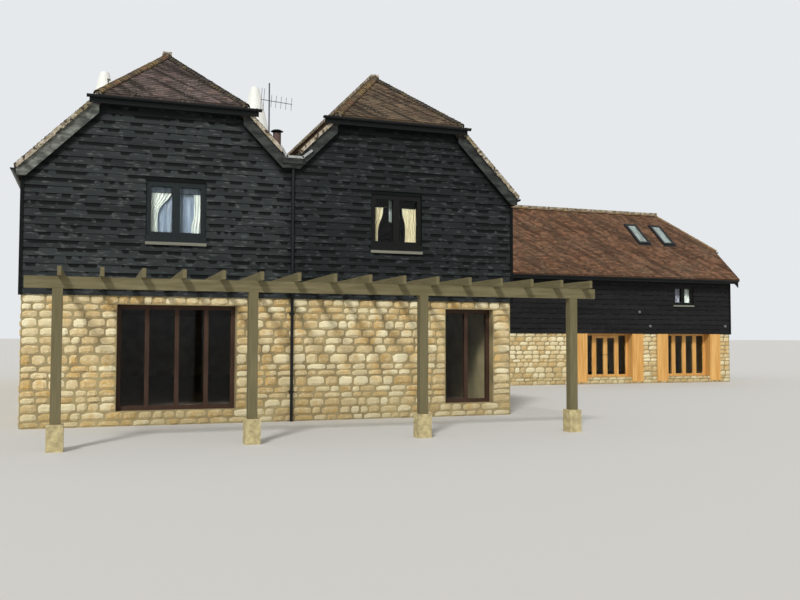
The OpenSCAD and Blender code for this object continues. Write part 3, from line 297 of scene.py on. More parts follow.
def boards(rng, z0, z1, gauge, spans, place, butt=0.024, head=0.006):
    """Lapped boards from z0 up to z1. spans(z, other) gives the same number of stretches at a row's foot
    and head. Each board has 7 rings of 4 points: foot and head of its face and back, so that its thickness
    falls from butt to head. A point's own coordinates are its place along the row, how far it is below the
    next board, and ten times the row's height, which sets each row's noise apart."""
    lap, joint, back, usual, least = 0.028, 0.0015, -0.003, 3.3, 0.02
    rows = []
    for low in np.arange(z0, z1 - least, gauge):
        high = min(low + gauge + lap, z1)
        for (a, b), (c, d) in zip(spans(low, high), spans(high, low)):
            count = max(1, round((b - a) / usual))
            shift = rng.uniform(-0.3, 0.3, count - 1)
            cuts = np.sort(np.clip((np.arange(1, count) + shift) / count, 0.05, 0.95))
            cuts = a + cuts * (b - a)
            lower = [a] + [x for cut in cuts for x in (cut - joint, cut + joint)] + [b]
            upper = [c] + lower[1:-1] + [d]
            rows.extend((p, q, r, s, low, high) for p, q, r, s in
                        zip(lower[::2], lower[1::2], upper[::2], upper[1::2]) if q - p > least)
    a, b, c, d, low, high = np.array(rows).T[:, :, None]
    n = len(rows)
    along = np.linspace(0, 1, 7)[None]
    foot = a + (b - a) * along
    top = c + (d - c) * along
    wave = np.cumsum(rng.normal(0, 0.0007, (n, 7)), 1) + rng.normal(0, 0.0012, (n, 1))
    swell = butt + rng.normal(0, 0.0014, (n, 1)) + np.cumsum(rng.normal(0, 0.0005, (n, 7)), 1)
    z_foot = low + wave
    z_top = high + 0 * wave
    ring = [place(top, z_top, back + 0 * top), place(top, z_top, head + 0 * top),
            place(foot, z_foot, swell), place(foot, z_foot, back + 0 * foot)]
    own = [np.stack([u, low + gauge - z, 10 * low + 0 * u], -1) for u, z in
           ((top, z_top), (top, z_top), (foot, z_foot), (foot, z_foot))]
    return np.stack(ring, 2).reshape(n, 28, 3), rng.random(n), np.stack(own, 2).reshape(n, 28, 3)


def bars(a, b, side, across, height):
    """Straight bars from points a to b: across is (from, to) along side, and height (from, to) along the
    cross product of the bar's own direction and side."""
    a, b = np.atleast_2d(np.asarray(a, float)), np.atleast_2d(np.asarray(b, float))
    run = (b - a) / np.linalg.norm(b - a, axis=1)[:, None]
    side = np.broadcast_to(np.asarray(side, float), run.shape)
    up = np.cross(run, side)
    ring = ((across[1], height[0]), (across[1], height[1]), (across[0], height[1]), (across[0], height[0]))
    return np.stack([end + v * side + h * up for end in (a, b) for v, h in ring], 1)


def two_gables(z, other):
    """Stretches of the twin gables at height z: a gable is held in by its slopes, |x - gable_x| =
    (board_peak - z) / slope. Below the valley the two are one, which other, the row's far edge, helps to
    settle."""
    reach = (board_peak - z) / slope
    outer = min(board_x, gable_x + reach)
    if min(z, other) < valley_foot:
        return [(-outer, outer)]
    inner = max(0.01, gable_x - reach)
    return [(-outer, -inner), (inner, outer)]


def wing_gable(z, other):
    """Stretches of the wing's end at height z: |y - wing_y| = (wing_board_peak - z) / wing_slope, and the
    corners."""
    reach = min(wing_board_half, (wing_board_peak - z) / wing_slope)
    return [(wing_y - reach, wing_y + reach)]


def less(spans, holes, gauge):
    """The same stretches without the holes (from, to, foot, head) that a row meets."""
    above_head, below_sill, least = 0.035, 0.02, 0.02

    def made(z, other):
        foot = min(z, other)
        kept = spans(z, other)
        for left, right, sill, lintel in holes:
            if foot < lintel - above_head and foot + gauge > sill + below_sill:
                kept = [(p, q) for a, b in kept for p, q in ((a, min(b, left)), (max(a, right), b))
                        if q - p > least]
        return kept
    return made


def tarred(name, dark, light, left_dark, left_light, lap_shade_height, wear, roof):
    """Tarred boards: grain 6 mm high and a metre long, washed patches and scuffs, as strong as wear; left
    of the middle the left pair of colours holds. Painted shade: near-black dashes a foot long under the
    laps, at the height given in metres, and a dark band a hand's width below the roof, whose height is the
    lesser of cap and peak - slope | |c| - middle |, c being the coordinate numbered axis: roof lists axis,
    middle, peak, slope and cap."""
    mat, at = blank(name)
    tone = add(mat, "Attribute", attribute_name="tone").outputs["Fac"]
    own = add(mat, "Attribute", attribute_name="own").outputs["Vector"]
    part = add(mat, "SeparateXYZ", [(0, at)]).outputs
    side = add(mat, "MapRange", [(0, part[0]), (1, -0.3), (2, 0.3)]).outputs[0]
    low = layer(mat, left_dark, dark, side)
    high = layer(mat, left_light, light, side)
    bare = layer(mat, "#666a68", "#545a5a", side)
    washed = patches(mat, at, 0.5, 0.35, 0.68, 3.0, (2.0, 2.0, 0.4))
    share = add(mat, "Math", [(0, tone), (1, washed)], operation="ADD").outputs[0]
    colour = layer(mat, low, high, share, 0.5)
    grain = patches(mat, at, 0.006, 0.3, 0.7, 6.0, (160.0, 160.0, 1.0))
    colour = layer(mat, colour, high, grain, 0.35 * wear)
    colour = layer(mat, colour, bare, patches(mat, at, 0.07, 0.58, 0.68, 3.0, (2.6, 2.6, 0.7)), 0.5 * wear)
    # Painted shade: near-black dashes along the top of each board, where the lap above shadows it.
    dashes = patches(mat, own, 0.3, 0.475, 0.525, 1.0, (1.0, 1e5, 1.0))
    reach = add(mat, "Math", [(0, dashes), (1, lap_shade_height)], operation="MULTIPLY").outputs[0]
    below = add(mat, "SeparateXYZ", [(0, own)]).outputs[1]
    over = add(mat, "Math", [(0, reach), (1, below)], operation="SUBTRACT").outputs[0]
    painted_lap_shadow = add(mat, "MapRange", [(0, over), (1, 0.0), (2, 0.025)]).outputs[0]
    colour = layer(mat, colour, "#050707", painted_lap_shadow, 0.9)
    # Painted shade: a dark band on the boards just below the eaves and verges.
    axis, middle, peak, fall, cap = roof
    off = add(mat, "Math", [(0, part[axis])], operation="ABSOLUTE").outputs[0]
    off = add(mat, "Math", [(0, off), (1, middle)], operation="SUBTRACT").outputs[0]
    off = add(mat, "Math", [(0, off)], operation="ABSOLUTE").outputs[0]
    eave = add(mat, "Math", [(0, off), (1, -fall), (2, peak)], operation="MULTIPLY_ADD").outputs[0]
    eave = add(mat, "Math", [(0, eave), (1, cap)], operation="MINIMUM").outputs[0]
    under = add(mat, "Math", [(0, eave), (1, part[2])], operation="SUBTRACT").outputs[0]
    painted_eave_shade = add(mat, "MapRange", [(0, under), (1, 0.36), (2, 0.22)]).outputs[0]
    colour = layer(mat, colour, "#080b0c", painted_eave_shade, 0.7)
    return surface(mat, colour, 0.75, grain, 0.0012, [("Specular IOR Level", 0.15)])


BOARD = tube(7, 4)
BAR = tube(2, 4)
board_y = extent("front_left_gable")[0][1]
board_rear_y = extent("rear_left_gable")[1][1]
board_x = extent("right_side_boards")[1][0]
wing_board_y = extent("wing_front_boards")[0][1]
wing_board_x = extent("wing_end_boards")[1][0]
(win_left, _, wing_win_foot), (wing_win_right, _, win_head) = extent("window_frames")
gable_x, slope, board_peak, board_cap, valley_foot = 2.525, 1.0176, 8.06, 6.74, 5.55
wing_y, wing_slope, wing_board_peak, wing_board_cap = 14.4675, 0.8836, 7.25, 5.7
wing_board_half = (board_rear_y - wing_board_y) / 2
drip, row, wing_row, side_top, wing_side_top = 0.025, 0.157, 0.2, 4.98, 4.45
win_w, right_win, win_foot, wing_win_w, wing_win_head = 1.24, 1.87, 3.82, 1.01, 4.04
gable_windows = [(win_left, win_left + win_w), (right_win, right_win + win_w)]
wing_window = (wing_win_right - wing_win_w, wing_win_right)
main_holes = [(a, b, win_foot, win_head) for a, b in gable_windows]
wing_holes = [(*wing_window, wing_win_foot, wing_win_head)]
kiln_holes = [(-3.648, -1.964, 0, 7), (2.888, 4.572, 0, 7)]

# Tarred softwood: a dull black with a blue-grey bloom, streaked and scuffed on the stowage and nearly even
# on the wing. Its grain is 2 mm wide and is drawn at 6 mm, so that it shows.
main_tar = tarred("Tarred_softwood_main", "#141818", "#2b2f2f", "#1b1e1e", "#3b4040", 0.085, 1.0,
                  (0, gable_x, board_peak, slope, board_cap))
wing_tar = tarred("Tarred_softwood_wing", "#141414", "#252425", "#141414", "#252425", 0.05, 0.25,
                  (1, wing_y, wing_board_peak, wing_slope, wing_board_cap))
dress(main_tar, "front_left_gable", "front_right_gable", "rear_left_gable", "rear_right_gable",
      "left_side_boards", "right_side_boards")
dress(wing_tar, "wing_front_boards", "wing_rear_boards", "wing_end_boards")
rng = np.random.default_rng(23)
main_rows = (stone_top - drip, board_cap, row)
side_rows = (stone_top - drip, side_top, row)
wing_rows = (wing_stone_top - drip, wing_side_top, wing_row)
side_end, wing_start = wing_board_y - 0.01, board_x + 0.03
board_list = {
    "front": (*main_rows, less(two_gables, main_holes, row), flat_wall(0, board_y, 1, 0), main_tar),
    "rear": (*main_rows, less(two_gables, kiln_holes, row), flat_wall(0, board_rear_y, -1, 0), main_tar),
    "left_side": (*side_rows, lambda z, other: [(-board_rear_y, -board_y)], flat_wall(-board_x, 0, 0, -1),
                  main_tar),
    "right_side": (*side_rows, lambda z, other: [(board_y, side_end)], flat_wall(board_x, 0, 0, 1),
                   main_tar),
    "wing_front": (*wing_rows, less(lambda z, other: [(wing_start, wing_board_x)], wing_holes, wing_row),
                   flat_wall(0, wing_board_y, 1, 0), wing_tar),
    "wing_end": (wing_stone_top - drip, wing_board_cap, wing_row, wing_gable,
                 flat_wall(wing_board_x, 0, 0, 1), wing_tar),
    "wing_rear": (*wing_rows, lambda z, other: [(-wing_board_x, -wing_start)],
                  flat_wall(0, board_rear_y, -1, 0), wing_tar),
}
for name, (z0, z1, gauge, spans, place, mat) in board_list.items():
    points, tones, own = boards(rng, z0, z1, gauge, spans, place)
    build(name + "_weatherboards", points, BOARD, mat, tones, own=own)

# Corner boards and window beads: square posts of the same tarred softwood, nailed upright where the rows
# end at a corner, and thin beads that close them down both sides of each window.
post_half, bead_half, post_drop = 0.034, 0.02, 0.04
main_post = (stone_top - post_drop, side_top)
wing_post = (wing_stone_top - post_drop, wing_side_top)
main_bead = (win_foot + 0.02, win_head + 0.01)
wing_bead = (wing_win_foot - 0.06, wing_win_head + 0.02)
corner_posts = [(-board_x, board_y, *main_post), (board_x, board_y, *main_post),
                (-board_x, board_rear_y, *main_post), (wing_board_x, wing_board_y, *wing_post),
                (wing_board_x, board_rear_y, *wing_post)]
window_beads = [(x, y, *bead) for (a, b), y, bead in
                [(w, board_y, main_bead) for w in gable_windows] + [(wing_window, wing_board_y, wing_bead)]
                for x in (a - bead_half, b + bead_half)]
upright = [bars((x, y, z0), (x, y, z1), (1, 0, 0), (-half, half), (back, front))
           for group, half, back, front in ((corner_posts, post_half, -post_half, post_half),
                                            (window_beads, bead_half, -0.004, 0.03))
           for x, y, z0, z1 in group]
build("corner_boards", np.concatenate(upright), BAR, main_tar, np.full(len(upright), 0.3))


# Plain clay tiles: hand-made, 165 mm wide, hung on battens to a 100 mm gauge with broken joints on every
# slope. A tile's tail stands on the two courses below it, so each course throws a thin shadow.
def rows_of(length, gauge):
    """Foot and head, metres up the slope, of every course; a head runs a little under the next foot."""
    least, lap = 0.02, 0.014
    foot = np.arange(0, length - least, gauge)
    return foot, np.minimum(foot + gauge + lap, length)


def tile_points(rng, point, ends, foot, head):
    """Tiles from their left and right ends at foot and at head: point(u, v, h) is a point u along, v up and
    h off the slope. Each has 8 points: foot 15 mm thick, head 4 mm, tilted and lifted by up to 3 mm."""
    head_back, head_face, foot_face, foot_back = -0.002, 0.004, 0.015, -0.001
    a, b, c, d = ends
    lift = rng.uniform(0.0, 0.003, len(a))
    skew = rng.normal(0, 0.0016, len(a))
    slipped = foot + rng.normal(0, 0.0018, len(a))
    ring = []
    for at_foot, at_head, tilt in ((a, c, skew), (b, d, -skew)):
        ring += [point(at_head, head, head_back + 0 * a), point(at_head, head, head_face + 0 * a),
                 point(at_foot, slipped, foot_face + lift + tilt),
                 point(at_foot, slipped, foot_back + 0 * a)]
    return np.stack(ring, 1), rng.random(len(a))


def slope_tiles(rng, origin, along, up, length, left, right, keep=None, gauge=0.1, width=0.165):
    """Courses on a flat slope. left and right are (v values, u values) that bound it. A point's own
    coordinates are u + v width / (2 gauge), which is level along the diagonals of the bond, and v."""
    gap, least = 0.001, 0.012
    origin, along, up = (np.asarray(x, float) for x in (origin, along, up))
    out = np.cross(along, up)
    foot, head = rows_of(length, gauge)
    first, last = min(left[1]), max(right[1])
    columns = np.arange(-1, int((last - first) / width) + 2)
    bond = 0.5 * (np.arange(len(foot)) % 2) * width
    u = first + columns[None] * width + bond[:, None] + rng.normal(0, 0.002, (len(foot), 1))
    foot, head = foot[:, None] + 0 * u, head[:, None] + 0 * u
    edges = [np.clip(u + x, np.interp(v, *left), np.interp(v, *right))
             for v in (foot, head) for x in (gap, width - gap)]
    wide = np.maximum(edges[1] - edges[0], edges[3] - edges[2]) > least
    ends = [e[wide] for e in edges]

    def point(u, v, h):
        return origin + u[:, None] * along + v[:, None] * up + h[:, None] * out
    points, tones = tile_points(rng, point, ends, foot[wide], head[wide])
    if keep is not None:
        kept = keep(points.mean(1))
        points, tones = points[kept], tones[kept]
    from_corner = points - origin
    across, high = from_corner @ along, from_corner @ up
    return points, tones, np.stack([across + 0.5 * width / gauge * high, high, from_corner @ out], -1)


def outside_kilns(p):
    """True where a point is clear of both kilns, whose radius is kiln_r up to kiln_top and above it
    cone_r - (z - kiln_top) / tan(cone_pitch)."""
    cone = cone_r - (p[:, 2] - kiln_top) / math.tan(cone_pitch)
    r = np.where(p[:, 2] < kiln_top - 0.01, kiln_r, cone)
    return np.all([np.hypot(p[:, 0] - x, p[:, 1] - kiln_y) > r for x in kilns.values()], 0)


def joined(groups):
    """Several groups of points, tones and whatever else they carry as one of each."""
    return [np.concatenate(parts) for parts in zip(*groups)]


def clay(name, dark, light, lichen, moss, fired, streak_shade, crust=None, streak=0.16, run=4.0):
    """Weathered clay tiles: each tile its own brown, a few redder by the share fired, blotches a foot wide,
    painted shade in dark streaks by the share after fired, streak metres wide and run times as long,
    down the diagonals of the bond, pale lichen spots a thumb wide, and on ridges and hips a yellow crust
    where crust gives its colour."""
    mat, at = blank(name)
    tone = add(mat, "Attribute", attribute_name="tone").outputs["Fac"]
    own = add(mat, "Attribute", attribute_name="own").outputs["Vector"]
    red = add(mat, "Math", [(0, tone), (1, 0.9)], operation="GREATER_THAN").outputs[0]
    colour = layer(mat, dark, light, tone)
    colour = layer(mat, colour, "#8a4c38", red, fired)
    colour = layer(mat, colour, moss, patches(mat, at, 1.3, 0.45, 0.7, 3.0), 0.45)
    colour = layer(mat, colour, light, patches(mat, at, 0.3, 0.52, 0.64, 3.0), 0.5)
    colour = layer(mat, colour, dark, patches(mat, at, 0.3, 0.5, 0.6, 4.0), 0.6)
    # Painted shade: dark streaks down one diagonal of the bond.
    painted_shade_streaks = patches(mat, own, streak, 0.49, 0.58, 1.5, (1.0, run, 1.0))
    colour = layer(mat, colour, layer(mat, dark, "#1d1812", 0.6), painted_shade_streaks, streak_shade)
    spots = patches(mat, at, 0.05, 0.56, 0.66, 5.0)
    colour = layer(mat, colour, lichen, spots, patches(mat, at, 0.8, 0.4, 0.62, 2.0), 0.8)
    if crust is not None:
        grown = patches(mat, at, 0.1, 0.46, 0.58, 5.0)
        colour = layer(mat, colour, crust, grown, patches(mat, at, 0.5, 0.38, 0.6, 2.0))
    grit = patches(mat, at, 0.01, 0.3, 0.7, 3.0)
    return surface(mat, colour, 0.88, grit, 0.0015, [("Specular IOR Level", 0.2)])


# Old clay: matt, mottled browns with dark diagonal streaks of painted shade. The left gable's tiles are
# greyer and the right one's browner, the small hips are painted almost black in those streaks of shade,
# the wing's are redder, and the kilns' are plain brown. The sand on their faces is 1 mm across and is
# drawn at 10 mm, so that it shows.
left_tones = ("#453b37", "#796963", "#8f877a", "#4d4540", 0.12)
right_tones = ("#4b3e31", "#836f5a", "#938770", "#524a3a", 0.15)
left_clay = clay("Clay_tiles_left", *left_tones, 0.3, None, 0.3, 3.0)
right_clay = clay("Clay_tiles_right", *right_tones, 0.3, None, 0.3, 3.0)
left_hip_clay = clay("Clay_tiles_left_hips", *left_tones, 0.95, None, 0.3, 8.0)
right_hip_clay = clay("Clay_tiles_right_hips", *right_tones, 0.95, None, 0.22, 8.0)
wing_clay = clay("Clay_tiles_wing", "#513827", "#8a674e", "#94826b", "#5f5242", 0.28, 0.6, None, 0.4, 3.0)
kiln_clay = clay("Clay_tiles_kilns", "#503a2e", "#7a5f4e", "#958a79", "#54442f", 0.25, 0.3)
dress(left_clay, "left_roof")
dress(right_clay, "right_roof")
dress(wing_clay, "wing_roof")
dress(kiln_clay, "left_kiln_roof", "right_kiln_roof")

(_, hip_y, _), (_, hip_rear_y, ridge_z) = extent("left_roof")
(valley_half, _, _), (eave_x, _, _) = extent("right_roof")
(_, verge_y, _), (_, verge_rear_y, _) = extent("valley_gutter")
pitch, hip_pitch, cone_pitch = (math.radians(a) for a in (45.5, 37.12, 60))
hip_z, hip_half, hip_run, hip_rise = 6.793, 1.51, 2.03, 1.537
hip_ends = ((hip_y, hip_y + hip_run), (hip_rear_y, hip_rear_y - hip_run))
cone_r, cone_top_r = 3.01, 0.73
gables = {"left": (-gable_x, left_clay, left_hip_clay), "right": (gable_x, right_clay, right_hip_clay)}
rng = np.random.default_rng(37)


def gable_slopes(x):
    """The outer and inner slope of the gable at x: which way it faces, and how far its eave is from x."""
    outward = 1 if x > 0 else -1
    return (outward, eave_x - gable_x), (-outward, gable_x - valley_half)


for name, (x, mat, hip_mat) in gables.items():
    fields, hips = [], []
    for s, e in gable_slopes(x):
        length, turn = e / math.cos(pitch), (e - hip_half) / math.cos(pitch)
        v = [0, turn - 0.001, turn, length]
        front, rear = (np.array([verge, verge, foot, top]) for verge, (foot, top) in
                       zip((verge_y, verge_rear_y), hip_ends))
        left, right = (front, rear) if s > 0 else (-rear, -front)
        fields.append(slope_tiles(rng, (x + s * e, 0, ridge_z - e * slope), (0, s, 0),
                                  (-s * math.cos(pitch), 0, math.sin(pitch)), length, (v, left), (v, right),
                                  outside_kilns))
    length = math.hypot(hip_run, hip_rise)
    for (y, _), f in zip(hip_ends, (1, -1)):
        up = (0, f * math.cos(hip_pitch), math.sin(hip_pitch))
        hips.append(slope_tiles(rng, (x, y, hip_z), (f, 0, 0), up, length, ([0, length], [-hip_half, 0]),
                                ([0, length], [hip_half, 0]), outside_kilns))
    for kind, group, clay_of in (("_roof_tiles", fields, mat), ("_hip_tiles", hips, hip_mat)):
        points, tones, own = joined(group)
        build(name + kind, points, BAR, clay_of, tones, own=own)

# The wing's tiles are redder. They run into the stowage's slope on the left, end at a verge and a half-hip
# on the right, and leave out the two roof windows.
(wing_valley_x, wing_eave_y, _), (wing_hip_x, wing_rear_eave_y, wing_ridge_z) = extent("wing_roof")
(first_window_x, _, roof_window_z), (last_window_x, _, _) = extent("roof_windows")
wing_pitch = math.atan(wing_slope)
wing_half = (wing_rear_eave_y - wing_eave_y) / 2
wing_length = wing_half / math.cos(wing_pitch)
wing_eave_z, wing_verge_x = 4.37, 21.95
wing_hip_z, wing_hip_half, wing_hip_run, wing_hip_rise = 5.733, 2.0, 1.785, 1.767
wing_ridge_end = wing_hip_x - wing_hip_run
roof_window_half, roof_window_long, roof_window_z = 0.305, 1.45, round(roof_window_z, 2)
roof_windows = (first_window_x + roof_window_half, last_window_x - roof_window_half)


def outside_windows(p):
    """True away from the kilns and the roof windows. A point is v = (z - roof_window_z) / sin(wing_pitch)
    metres up the slope from their feet."""
    v = (p[:, 2] - roof_window_z) / math.sin(wing_pitch)
    in_front = (v > -0.02) & (v < roof_window_long - 0.01) & (p[:, 1] < wing_y)
    inside = [in_front & (abs(p[:, 0] - x) < roof_window_half - 0.005) for x in roof_windows]
    return outside_kilns(p) & ~np.any(inside, 0)


def valley_x(z):
    """Where the wing's slope meets the stowage at height z: its boards, its eave, then its slope at
    gable_x + (ridge_z - z) / slope."""
    eave_low, eave_high = 4.974, 5.231
    on_slope = gable_x + (ridge_z - z) / slope
    return np.where(z < eave_low, board_x, np.where(z < eave_high, eave_x, on_slope))


v = np.linspace(0, wing_length, 200)
start = valley_x(wing_eave_z + v * math.sin(wing_pitch))
d = wing_half - v * math.cos(wing_pitch)
stop = np.where(d > wing_hip_half, wing_verge_x, wing_ridge_end + wing_hip_run / wing_hip_half * d)
fields = []
for y, f in ((wing_eave_y, 1), (wing_rear_eave_y, -1)):
    left, right = (start, stop) if f > 0 else (-stop, -start)
    up = (0, f * math.cos(wing_pitch), math.sin(wing_pitch))
    fields.append(slope_tiles(rng, (0, y, wing_eave_z), (f, 0, 0), up, wing_length, (v, left), (v, right),
                              outside_windows))
length = math.hypot(wing_hip_run, wing_hip_rise)
up = (-wing_hip_run / length, 0, wing_hip_rise / length)
fields.append(slope_tiles(rng, (wing_hip_x, wing_y, wing_hip_z), (0, 1, 0), up, length,
                          ([0, length], [-wing_hip_half, 0]), ([0, length], [wing_hip_half, 0])))
points, tones, own = joined(fields)
build("wing_roof_tiles", points, BAR, wing_clay, tones, own=own)


# Cone tiles: plain clay tiles nailed round each kiln's cone in rings, as many as fit each ring, up to the
# cowl's curb. They stop where the cone meets the stowage's rear boards.
def cone_tiles(rng, x, y, z, radius, steep, top, gauge=0.1, width=0.165):
    """Courses round a cone: radius - v cos(steep) from its axis and v sin(steep) above z, up to where it is
    top from the axis. Own coordinates are 2 angle + z and z, so that stains wind slowly round it."""
    foot, head = rows_of((radius - top) / math.cos(steep), gauge)
    cells = []
    for k, (v0, v1) in enumerate(zip(foot, head)):
        n = round(2 * math.pi * (radius - v0 * math.cos(steep)) / width)
        a = (np.arange(n) + 0.5 * (k % 2)) * 2 * math.pi / n
        cells.append(np.stack([a, a + 1.985 * math.pi / n, np.full(n, v0), np.full(n, v1)]))
    a, b, foot, head = np.concatenate(cells, 1)

    def point(angle, v, h):
        r = radius - v * math.cos(steep) + h * math.sin(steep)
        height = z + v * math.sin(steep) + h * math.cos(steep)
        return np.stack([x + r * np.cos(angle), y + r * np.sin(angle), height], 1)
    points, tones = tile_points(rng, point, (a, b, a, b), foot, head)
    kept = points.mean(1)[:, 1] > board_rear_y + 0.015
    points = points[kept]
    turn = np.arctan2(points[..., 1] - y, points[..., 0] - x)
    first = turn[:, :1]
    turn = first + (turn - first + math.pi) % (2 * math.pi) - math.pi
    return points, tones[kept], np.stack([2 * turn + points[..., 2], points[..., 2], 0 * turn], -1)


for name, x in kilns.items():
    points, tones, own = cone_tiles(rng, x, kiln_y, kiln_top, cone_r, cone_pitch, cone_top_r)
    build(name + "_kiln_tiles", points, BAR, kiln_clay, tones, own=own)


# Ridge and hip tiles: half-round clay ridges 450 mm long, and bonnets that lap at every course down the
# hips, all bedded in mortar that shows grey along their edges.
def arch_pattern(k):
    """Faces of a bent shell with k + 1 points along each of its four edges: outer foot, outer head, inner
    foot, inner head."""
    m = k + 1
    faces = []
    for i in range(k):
        a, b, c, d = i, m + i, 2 * m + i, 3 * m + i
        faces += [[a, a + 1, b + 1, b], [c, d, d + 1, c + 1], [a, c, c + 1, a + 1], [b, b + 1, d + 1, d]]
    return np.array(faces + [[0, m, 3 * m, 2 * m], [k, 2 * m + k, 3 * m + k, m + k]])


def ridge_run(rng, start, end, gauge, radius, flare, half, sink, lap, thick=0.014):
    """Bent tiles from start to end. Each is an arc of plus or minus half about an axis sunk below the line,
    its radius larger by flare at the foot, so that it stands on the one below."""
    start, end = np.asarray(start, float), np.asarray(end, float)
    run = end - start
    total = np.linalg.norm(run)
    run /= total
    up = np.array([0, 0, 1.0]) - run * run[2]
    up /= np.linalg.norm(up)
    side = np.cross(run, up)
    n = max(1, round(total / gauge))
    at = np.arange(n) * total / n
    angle = np.linspace(-half, half, 8)
    ray = np.sin(angle)[:, None] * side + np.cos(angle)[:, None] * up
    tilt = rng.normal(0, 0.002, n)
    rings = []
    for inner in (0, thick):
        for place, grow in ((at, flare), (at + total / n + lap, 0.0)):
            centre = start + place[:, None] * run - (sink + tilt[:, None]) * up
            rings.append(centre[:, None] + (radius + grow - inner) * ray[None])
    return np.concatenate(rings, 1), rng.random(n)


ARCH = arch_pattern(7)
ridge_tile = {"gauge": 0.45, "radius": 0.118, "flare": 0.0, "half": 1.5, "lap": -0.008}
bonnet = {"gauge": 0.1, "radius": 0.105, "half": 1.15, "sink": 0.068, "lap": 0.05}
bed, over, wing_ridge_start = ((-0.1, 0.1), (-0.1, -0.02)), 0.07, round(wing_valley_x, 2)
rng = np.random.default_rng(41)
ridges, beds, hip_lines = [], [], []
bonnets = {"left": [], "right": [], "wing": []}
for x, _, _ in gables.values():
    (_, front), (_, rear) = hip_ends
    front, rear = front - over, rear + over
    ridges.append(ridge_run(rng, (x, front, ridge_z), (x, rear, ridge_z), sink=0.055, **ridge_tile))
    beds.append(bars((x, front + 0.02, ridge_z), (x, rear - 0.02, ridge_z), (1, 0, 0), *bed))
    for name, s in (("left", -1), ("right", 1)):
        for foot_y, top_y in hip_ends:
            foot, top = (x + s * hip_half, foot_y, hip_z), (x, top_y, ridge_z)
            bonnets[name].append(ridge_run(rng, foot, top, flare=0.024, **bonnet))
            hip_lines.append((foot, top))
for s in (-1, 1):
    foot, top = (wing_hip_x, wing_y + s * wing_hip_half, wing_hip_z), (wing_ridge_end, wing_y, wing_ridge_z)
    bonnets["wing"].append(ridge_run(rng, foot, top, flare=0.018, **bonnet))
    hip_lines.append((foot, top))
wing_ridge = ridge_run(rng, (wing_ridge_start, wing_y, wing_ridge_z),
                       (wing_ridge_end + 0.08, wing_y, wing_ridge_z), sink=0.06, **ridge_tile)

# The mortar beds below the ridges, and a plug of it in the mouth of each hip's lowest bonnet.
for foot, top in hip_lines:
    run = (np.array(top) - foot) / np.linalg.norm(np.array(top) - foot)
    side = np.cross((0, 0, 1), run) / math.hypot(run[0], run[1])
    beds.append(bars(foot + 0.012 * run, foot + 0.08 * run, side, (-0.07, 0.07), (-0.06, 0.018)))
beds.append(bars((wing_ridge_start + 0.16, wing_y, wing_ridge_z),
                 (wing_ridge_end + over, wing_y, wing_ridge_z), (0, -1, 0), *bed))

# Ridge clay: browns under a yellow crust of lichen; the bonnets of each gable's right-hand hips are painted
# nearly black as shade, and the wing's ridge is paler and redder.
ridge_clay = clay("Clay_ridge_stowage", "#54473a", "#7d6b56", "#a89f82", "#5d503c", 0.45, 0.0, "#978152")
shaded_bonnet_clay = clay("Clay_bonnets_painted_shade", "#2f2b2a", "#544d47", "#7f7866", "#3f3b33", 0.1, 0.0, "#6f6444")
wing_ridge_clay = clay("Clay_ridge_wing", "#7a6048", "#a08d78", "#b8b09c", "#7f6c54", 0.2, 0.0, "#a3824e")
points, tones = joined(ridges)
build("stowage_ridge_tiles", points, ARCH, ridge_clay, tones, smooth=True)
for name, mat in (("left", ridge_clay), ("right", shaded_bonnet_clay)):
    points, tones = joined(bonnets[name])
    kept = outside_kilns(points.mean(1))
    build(name + "_hip_bonnet_tiles", points[kept], ARCH, mat, tones[kept], smooth=True)
build("wing_ridge_tiles", wing_ridge[0], ARCH, wing_ridge_clay, wing_ridge[1], smooth=True)
points, tones = joined(bonnets["wing"])
build("wing_bonnet_tiles", points, ARCH, wing_ridge_clay, tones, smooth=True)


# Verge mortar: trowelled under the edge tiles of each gable, where it shows as a pale strip below them. It is
# cracked and dirty, and pieces a tile's width long stand a few millimetres off each other.
def strip(rng, a, b, side, across, height, step):
    """Bars end to end from a to b, about step long, each some millimetres off the last as a trowel leaves
    them."""
    a, b = np.asarray(a, float), np.asarray(b, float)
    n = max(1, round(np.linalg.norm(b - a) / step))
    share = np.linspace(0, 1, n + 1)
    share[1:-1] += rng.uniform(-0.35, 0.35, n - 1) / n
    cuts = a + (b - a) * share[:, None]
    side = np.asarray(side, float)
    up = np.cross(b - a, side) / np.linalg.norm(b - a)
    moved = rng.normal(0, 0.004, n)[:, None] * side + rng.normal(0, 0.006, n)[:, None] * up
    return bars(cuts[:-1] + moved, cuts[1:] + moved, side, across, height)


# Sanded mortar: pale, rough and quite matt, with dark stains of 90 mm and lighter crumbs of 50 mm.
verge_mortar, at = blank("Verge_mortar_pale")
colour = layer(verge_mortar, "#c2b7a3", "#8c8060", patches(verge_mortar, at, 0.16, 0.42, 0.58))
colour = layer(verge_mortar, colour, "#453c30", patches(verge_mortar, at, 0.09, 0.52, 0.6))
colour = layer(verge_mortar, colour, "#d9cdbd", patches(verge_mortar, at, 0.05, 0.58, 0.66))
surface(verge_mortar, colour, 0.95, patches(verge_mortar, at, 0.03, 0.3, 0.7), 0.012)
above, below, shown, long = (0.002, 0.078), (-0.078, -0.002), (-0.02, 0.012), 0.165
stop_x, stop_z, wing_stop_y, wing_stop_z = 1.5, 6.803, 1.99, 5.742
verges = []
for x, _, _ in gables.values():
    for s, e in gable_slopes(x):
        low, high = (x + s * e, ridge_z - e * slope), (x + s * stop_x, stop_z)
        for y, f in ((verge_y, -1), (verge_rear_y, 1)):
            verges.append(strip(rng, (low[0], y, low[1]), (high[0], y, high[1]), (0, f, 0), shown,
                                below if s * f < 0 else above, long))
